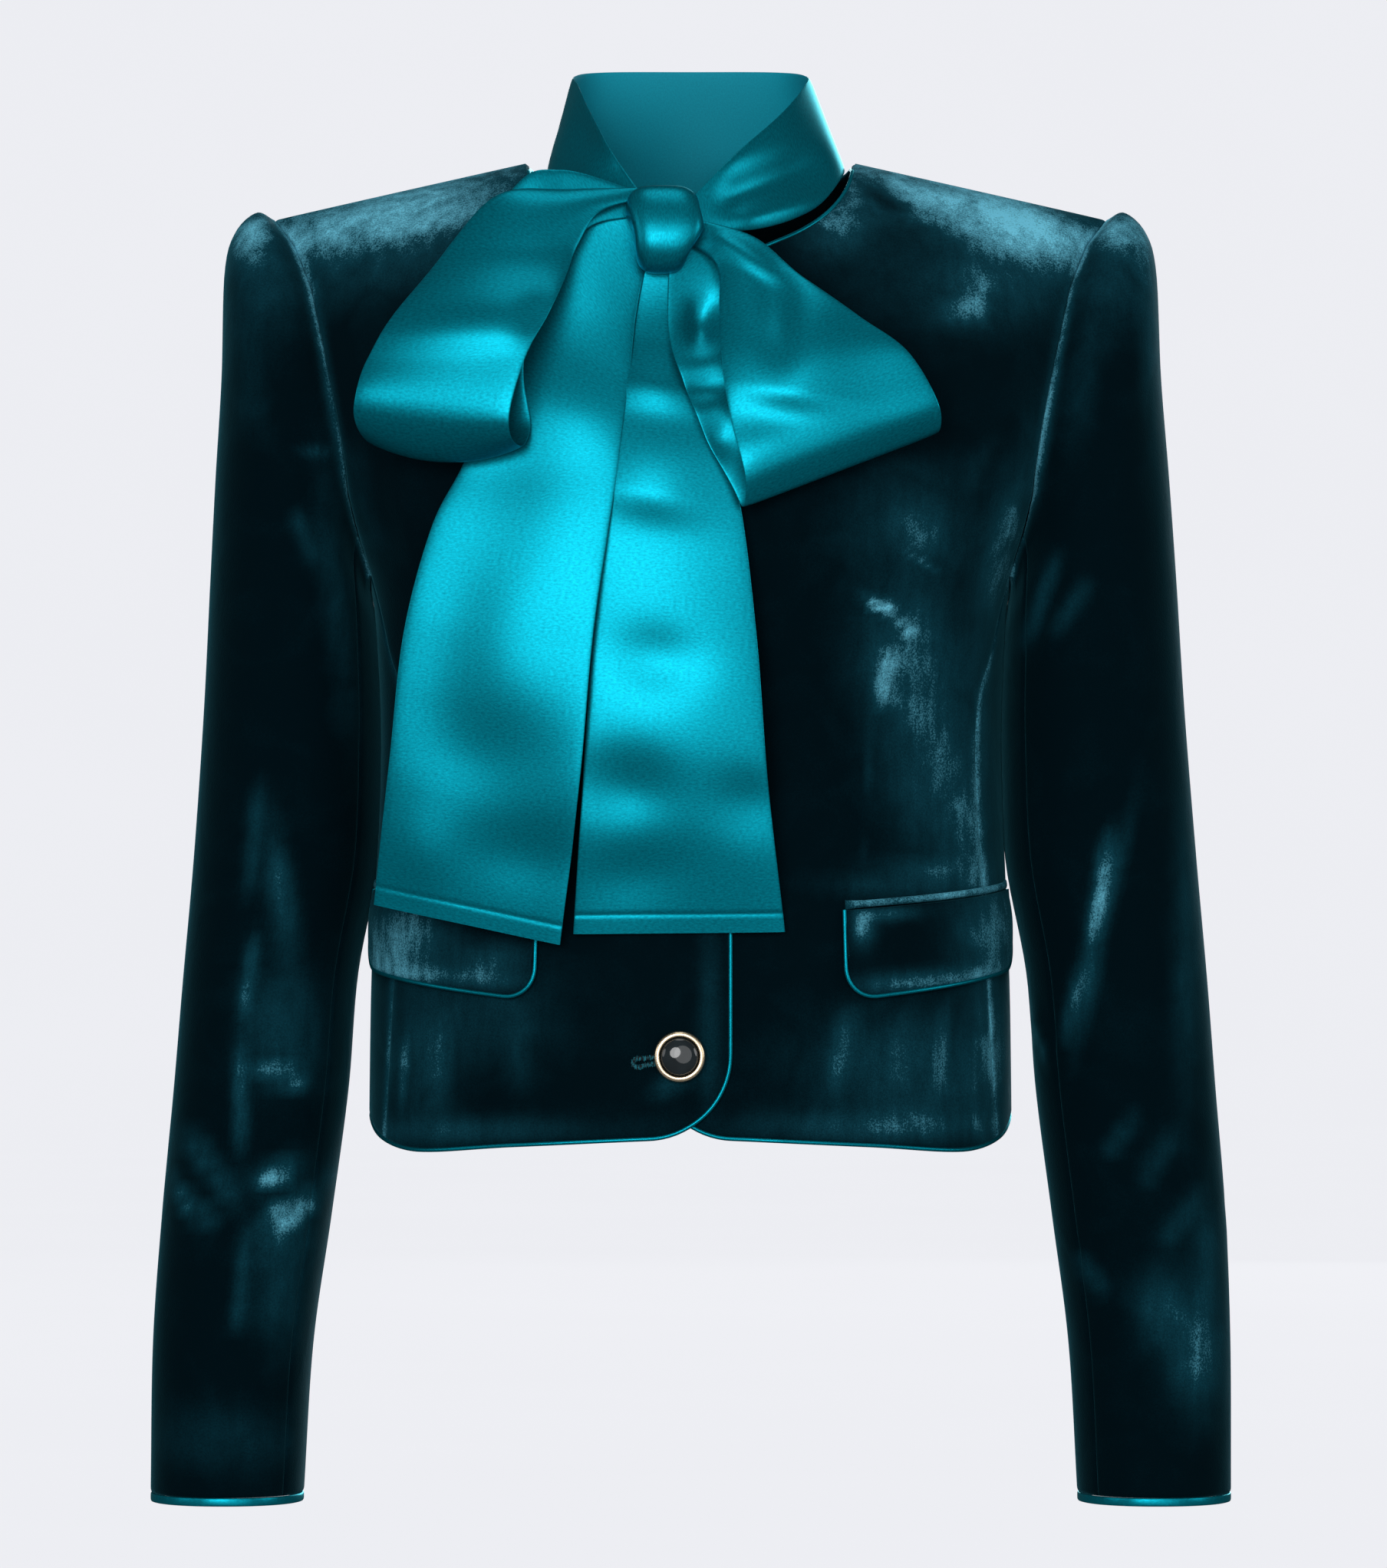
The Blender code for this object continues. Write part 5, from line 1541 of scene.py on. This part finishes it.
class JACKET_OT_satin_edges(bpy.types.Operator):
    """Makes the piping of the fronts, hem, neck and flaps, and the satin edge of each cuff"""

    bl_idname = "jacket.satin_edges"
    bl_label = "Piping and cuff edges"

    def execute(self, context):
        satin = look(context, "heavy satin")
        radius = context.scene.jacket_sizes.piping_radius
        angle, z = front_places()
        points = torso(angle, z)
        normals = torso_normal(angle, z)
        inset = points - normals * underlap(points[..., 0])[..., None]
        # Each front: down its front edge and along its hem
        for side, grid, turned in (("left", inset, 1), ("right", points, -1)):
            edge = np.concatenate([grid[:0:-1, 0], grid[0]])
            out = np.concatenate([normals[:0:-1, 0], normals[0]])
            path = edge_path(edge, out, radius)
            self.pipe(f"front_{side}", path * (turned, 1, 1), out * (turned, 1, 1), radius, satin)
        # The hem of the sides and the back
        side_angle, side_z = side_places()
        back_angle, back_z = back_places()
        other_side = 2 * math.pi - side_angle[0, -2::-1]
        hem_angle = np.concatenate([side_angle[0, :-1], back_angle[0], other_side])
        hem_z = np.concatenate([side_z[0, :-1], back_z[0], side_z[0, -2::-1]])
        out = torso_normal(hem_angle, hem_z)
        self.pipe("back_hem", edge_path(torso(hem_angle, hem_z), out, radius), out, radius, satin)
        # The neckline: the right front, the back, and the left front as far as it shows
        over = slice(0, int(np.argmax(points[-1, :, 0] >= NECK_X - SEAM_GAP)))
        under = slice(int(np.argmax(points[-1, :, 0] > UNDERLAP_FULL)), over.stop)
        rim = torso(back_angle, back_z)[-1]
        rim_normals = torso_normal(back_angle, back_z)[-1]
        behind = np.flatnonzero(np.abs(rim[:, 0]) < NECK_X - SEAM_GAP)[::-1]
        edge = np.concatenate([points[-1, over] * (-1, 1, 1), rim[behind], inset[-1, under][::-1]])
        out = np.concatenate([normals[-1, over] * (-1, 1, 1), rim_normals[behind], normals[-1, under][::-1]])
        self.pipe("neck", edge_path(edge, out, radius), out, radius, satin)
        # Each flap: down its front end, along its lower edge and up its other end
        angle, top, bottom = flap_places(graded(FLAP_EDGE_POINTS))
        ends = [0, -1]
        z_ends = bottom[ends] + (top - bottom)[ends] * graded(FLAP_END_POINTS)[:, None]
        edge_angle, edge_top = (np.pad(values, FLAP_END_POINTS - 1, mode="edge") for values in (angle, top))
        edge_z = np.concatenate([z_ends[:0:-1, 0], bottom, z_ends[1:, 1]])
        lift = FLAP_OUT + FLAP_FLARE * (edge_top - edge_z) / FLAP_DEPTH_FRONT
        out = torso_normal(edge_angle, edge_z)
        path = edge_path(moved_out(edge_angle, edge_z, lift), out, radius)
        for side, turned in (("left", 1), ("right", -1)):
            self.pipe(f"flap_{side}", path * (turned, 1, 1), out * (turned, 1, 1), radius, satin)
        # The cuffs
        share = graded(CUFF_POINTS)
        front, behind = armhole_edge(FRONT_OUTER, share), armhole_edge(BACK_OUTER, share[::-1])
        loop = np.concatenate([front, behind[1:], armhole_under(share)[1:-1]])
        for side, lean in (("left", 1), ("right", -1)):
            ring = sleeve_grid(loop, np.array((0.0, SLEEVE_LAST)), lean)[-1] * (lean, 1, 1)
            made = ring_object(f"satin_cuff_{side}", cuff_rings(ring), satin)
            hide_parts(f"cuff_{side}")
        return {"FINISHED"}

    def pipe(self, place, path, out, radius, satin):
        """Makes the piping of one place and hides the solid that it stands for."""
        made = cord_object(f"satin_piping_{place}", path, out, radius, satin)
        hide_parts(f"piping_{place}")


class JACKET_OT_satin_tie(bpy.types.Operator):
    """Makes the neck band and the bow: its knot, two loops and two tails"""

    bl_idname = "jacket.satin_tie"
    bl_label = "Satin tie"

    def execute(self, context):
        satin = look(context, "heavy satin")
        knot = capped_tube("satin_knot", knot_rings(), satin)
        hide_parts("knot")
        dull = look(context, "satin, dull side")
        for tie in TIE:
            node = tie["node"]
            looks = (satin, dull) if node == "neck_band" else (satin,)
            made, grid = ribbon_object(f"satin_{node}", tie, context.scene.jacket_sizes, looks)
            if node == "neck_band":
                declare(node, grid)
            else:
                declare(node, grid)
        return {"FINISHED"}


class JACKET_OT_button(bpy.types.Operator):
    """Makes the button's gold ring and dark stone, and the worked buttonhole"""

    bl_idname = "jacket.button"
    bl_label = "Button and buttonhole"

    def execute(self, context):
        ring = button_rings(RING_PROFILE["radius"], RING_PROFILE["height"])
        made = ring_object("gold_button_ring", ring, look(context, "polished pale gold"))
        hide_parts("button_ring")
        rise = np.radians(np.linspace(0, STONE_LAST, STONE_ROWS))
        radius = np.concatenate([[STONE_RADIUS], STONE_RADIUS * np.cos(rise)])
        height = STONE_SHOULDER + (STONE_HEIGHT - STONE_SHOULDER) * np.sin(rise)
        height = np.concatenate([[0.0], height])
        stone = button_rings(radius, height)
        made = capped_tube("stone_button", stone, look(context, "polished dark stone"))
        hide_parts("button_stone")
        ring_object("thread_buttonhole", hole_rings(), look(context, "silk buttonhole thread"))
        return {"FINISHED"}


FLOOR_Z = -0.7
FLOOR_START = 0.01
FLOOR_FLAT = 6.0
FLOOR_REACH = 14.0
BACKDROP_RISE = 7.0
FIBRE_SIZE = 1 / 3
FIBRE_SHADE = 0.985
LIGHT_AIM = (0, 0, -0.3)
LIGHT_COLOUR = (1, 1, 1)
SKY_COLOUR = (0.93, 0.96, 1.0, 1)
SENSOR_HEIGHT = 36.0
CAMERA_REACH = 100.0


def floor_material(colours):
    """Pale seamless studio paper: matt, faintly mottled, and lit so evenly that it nearly glows."""
    made, tree, shader = principled(
        "pale studio paper",
        {
            "Base Color": (0.01, 0.01, 0.01, 1),
            "Roughness": 1.0,
            "Specular IOR Level": 0.0,
            "Emission Strength": 1.0,
        },
    )
    place = add_node(tree, "ShaderNodeTexCoord").outputs["Object"]
    fibre = noise(tree, place, FIBRE_SIZE, 2)
    colour = mixed(tree, fibre, [c * FIBRE_SHADE for c in colours.floor], colours.floor)
    tree.links.new(colour, shader.inputs["Emission Color"])
    return made


def add_light(name, place, size, power):
    """A round white area light at a place, facing the jacket's middle."""
    light = bpy.data.lights.new(name, "AREA")
    light.shape = "DISK"
    light.size = size
    light.energy = power
    light.color = LIGHT_COLOUR
    made = bpy.data.objects.new(name, light)
    run = np.array(place) - np.array(LIGHT_AIM)
    flat = math.hypot(run[0], run[1])
    made.location = place
    made.rotation_euler = (math.atan2(flat, run[2]), 0, math.atan2(run[0], -run[1]))
    bpy.context.scene.collection.objects.link(made)


class JACKET_OT_stage(bpy.types.Operator):
    """Makes the camera, the lights, the sky and the pale floor that curves up behind"""

    bl_idname = "jacket.stage"
    bl_label = "Studio stage"

    def execute(self, context):
        scene = context.scene
        camera = bpy.data.cameras.new("camera")
        camera.sensor_fit = "VERTICAL"
        camera.sensor_height = SENSOR_HEIGHT
        camera.lens = camera.sensor_height * CAMERA_DISTANCE / VIEW_HEIGHT
        camera.clip_end = CAMERA_REACH
        eye = bpy.data.objects.new("camera", camera)
        eye.location = (CAMERA_X, -CAMERA_DISTANCE, CAMERA_Z)
        eye.rotation_euler = (math.pi / 2, 0, 0)
        scene.collection.objects.link(eye)
        scene.camera = eye
        scene.view_settings.view_transform = "Standard"
        for name, place, size, power in (
            ("key light", (-0.7, -3.2, 0.2), 1.7, 52),
            ("fill light", (0.7, -3.4, 0.0), 3.2, 36),
            ("light above", (0.0, -0.6, 2.4), 1.4, 10),
            ("side light left", (-2.6, -1.2, 0.2), 1.4, 8),
            ("side light right", (2.6, -1.0, 0.3), 1.4, 14),
            ("light behind", (0.7, 3.2, 0.5), 2.4, 80),
        ):
            add_light(name, place, size, power)
        flat = np.linspace(FLOOR_START, FLOOR_FLAT, FLOOR_ROWS[0])
        reach = np.concatenate([flat, np.linspace(FLOOR_FLAT, FLOOR_REACH, FLOOR_ROWS[1])[1:]])
        turn = turns(FLOOR_COLUMNS)
        rise = BACKDROP_RISE * eased((reach - FLOOR_FLAT) / (FLOOR_REACH - FLOOR_FLAT))
        x = reach[:, None] * np.cos(turn)
        y = reach[:, None] * np.sin(turn)
        rings = np.stack([x, y, FLOOR_Z + rise[:, None] + 0 * x], axis=-1)
        mesh = bpy.data.meshes.new("pale_floor")
        middle = np.array([(0.0, 0.0, FLOOR_Z)])
        here = np.arange(FLOOR_COLUMNS)
        fan = np.stack([np.full(FLOOR_COLUMNS, rings.size // 3), here, np.roll(here, -1)], axis=1)
        faces = [*quads_of(len(reach), FLOOR_COLUMNS, around=True).tolist(), *fan.tolist()]
        mesh.from_pydata(np.concatenate([rings.reshape(-1, 3), middle]).tolist(), [], faces)
        mesh.shade_smooth()
        mesh.materials.append(floor_material(scene.jacket_colours))
        made = bpy.data.objects.new("pale_floor", mesh)
        made.visible_diffuse = False
        made.visible_glossy = False
        scene.collection.objects.link(made)
        world = bpy.data.worlds.new("soft studio sky")
        world.use_nodes = True
        tree = world.node_tree
        ray = add_node(tree, "ShaderNodeTexCoord").outputs["Generated"]
        back = add_node(tree, "ShaderNodeSeparateXYZ", {0: ray}).outputs["Y"]
        shade = ranged(tree, back, -1, 0.6, 0.25, 0.12)
        tree.links.new(shade, tree.nodes["Background"].inputs["Strength"])
        tree.nodes["Background"].inputs["Color"].default_value = SKY_COLOUR
        scene.world = world
        return {"FINISHED"}


OPERATORS = (
    JACKET_OT_velvet_body,
    JACKET_OT_velvet_sleeves,
    JACKET_OT_pockets,
    JACKET_OT_satin_edges,
    JACKET_OT_satin_tie,
    JACKET_OT_button,
    JACKET_OT_stage,
)


class JACKET_PT_looks(bpy.types.Panel):
    """Lists the jacket's pieces with its sizes and colours"""

    bl_idname = "JACKET_PT_looks"
    bl_label = "Velvet jacket"
    bl_space_type = "VIEW_3D"
    bl_region_type = "UI"
    bl_category = "Jacket"

    def draw(self, context):
        for operator in OPERATORS:
            self.layout.operator(operator.bl_idname)
        for group in (context.scene.jacket_sizes, context.scene.jacket_colours):
            for name in group.__annotations__:
                self.layout.prop(group, name)


CLASSES = (JacketColours, JacketSizes, *OPERATORS, JACKET_PT_looks)


def register():
    for made in CLASSES:
        bpy.utils.register_class(made)
    bpy.types.Scene.jacket_colours = bpy.props.PointerProperty(type=JacketColours)
    bpy.types.Scene.jacket_sizes = bpy.props.PointerProperty(type=JacketSizes)


def unregister():
    del bpy.types.Scene.jacket_sizes
    del bpy.types.Scene.jacket_colours
    for made in reversed(CLASSES):
        bpy.utils.unregister_class(made)


def main():
    register()
    bpy.ops.jacket.velvet_body()
    bpy.ops.jacket.velvet_sleeves()
    bpy.ops.jacket.pockets()
    bpy.ops.jacket.satin_edges()
    bpy.ops.jacket.satin_tie()
    bpy.ops.jacket.button()
    bpy.ops.jacket.stage()


if __name__ == "__main__":
    main()
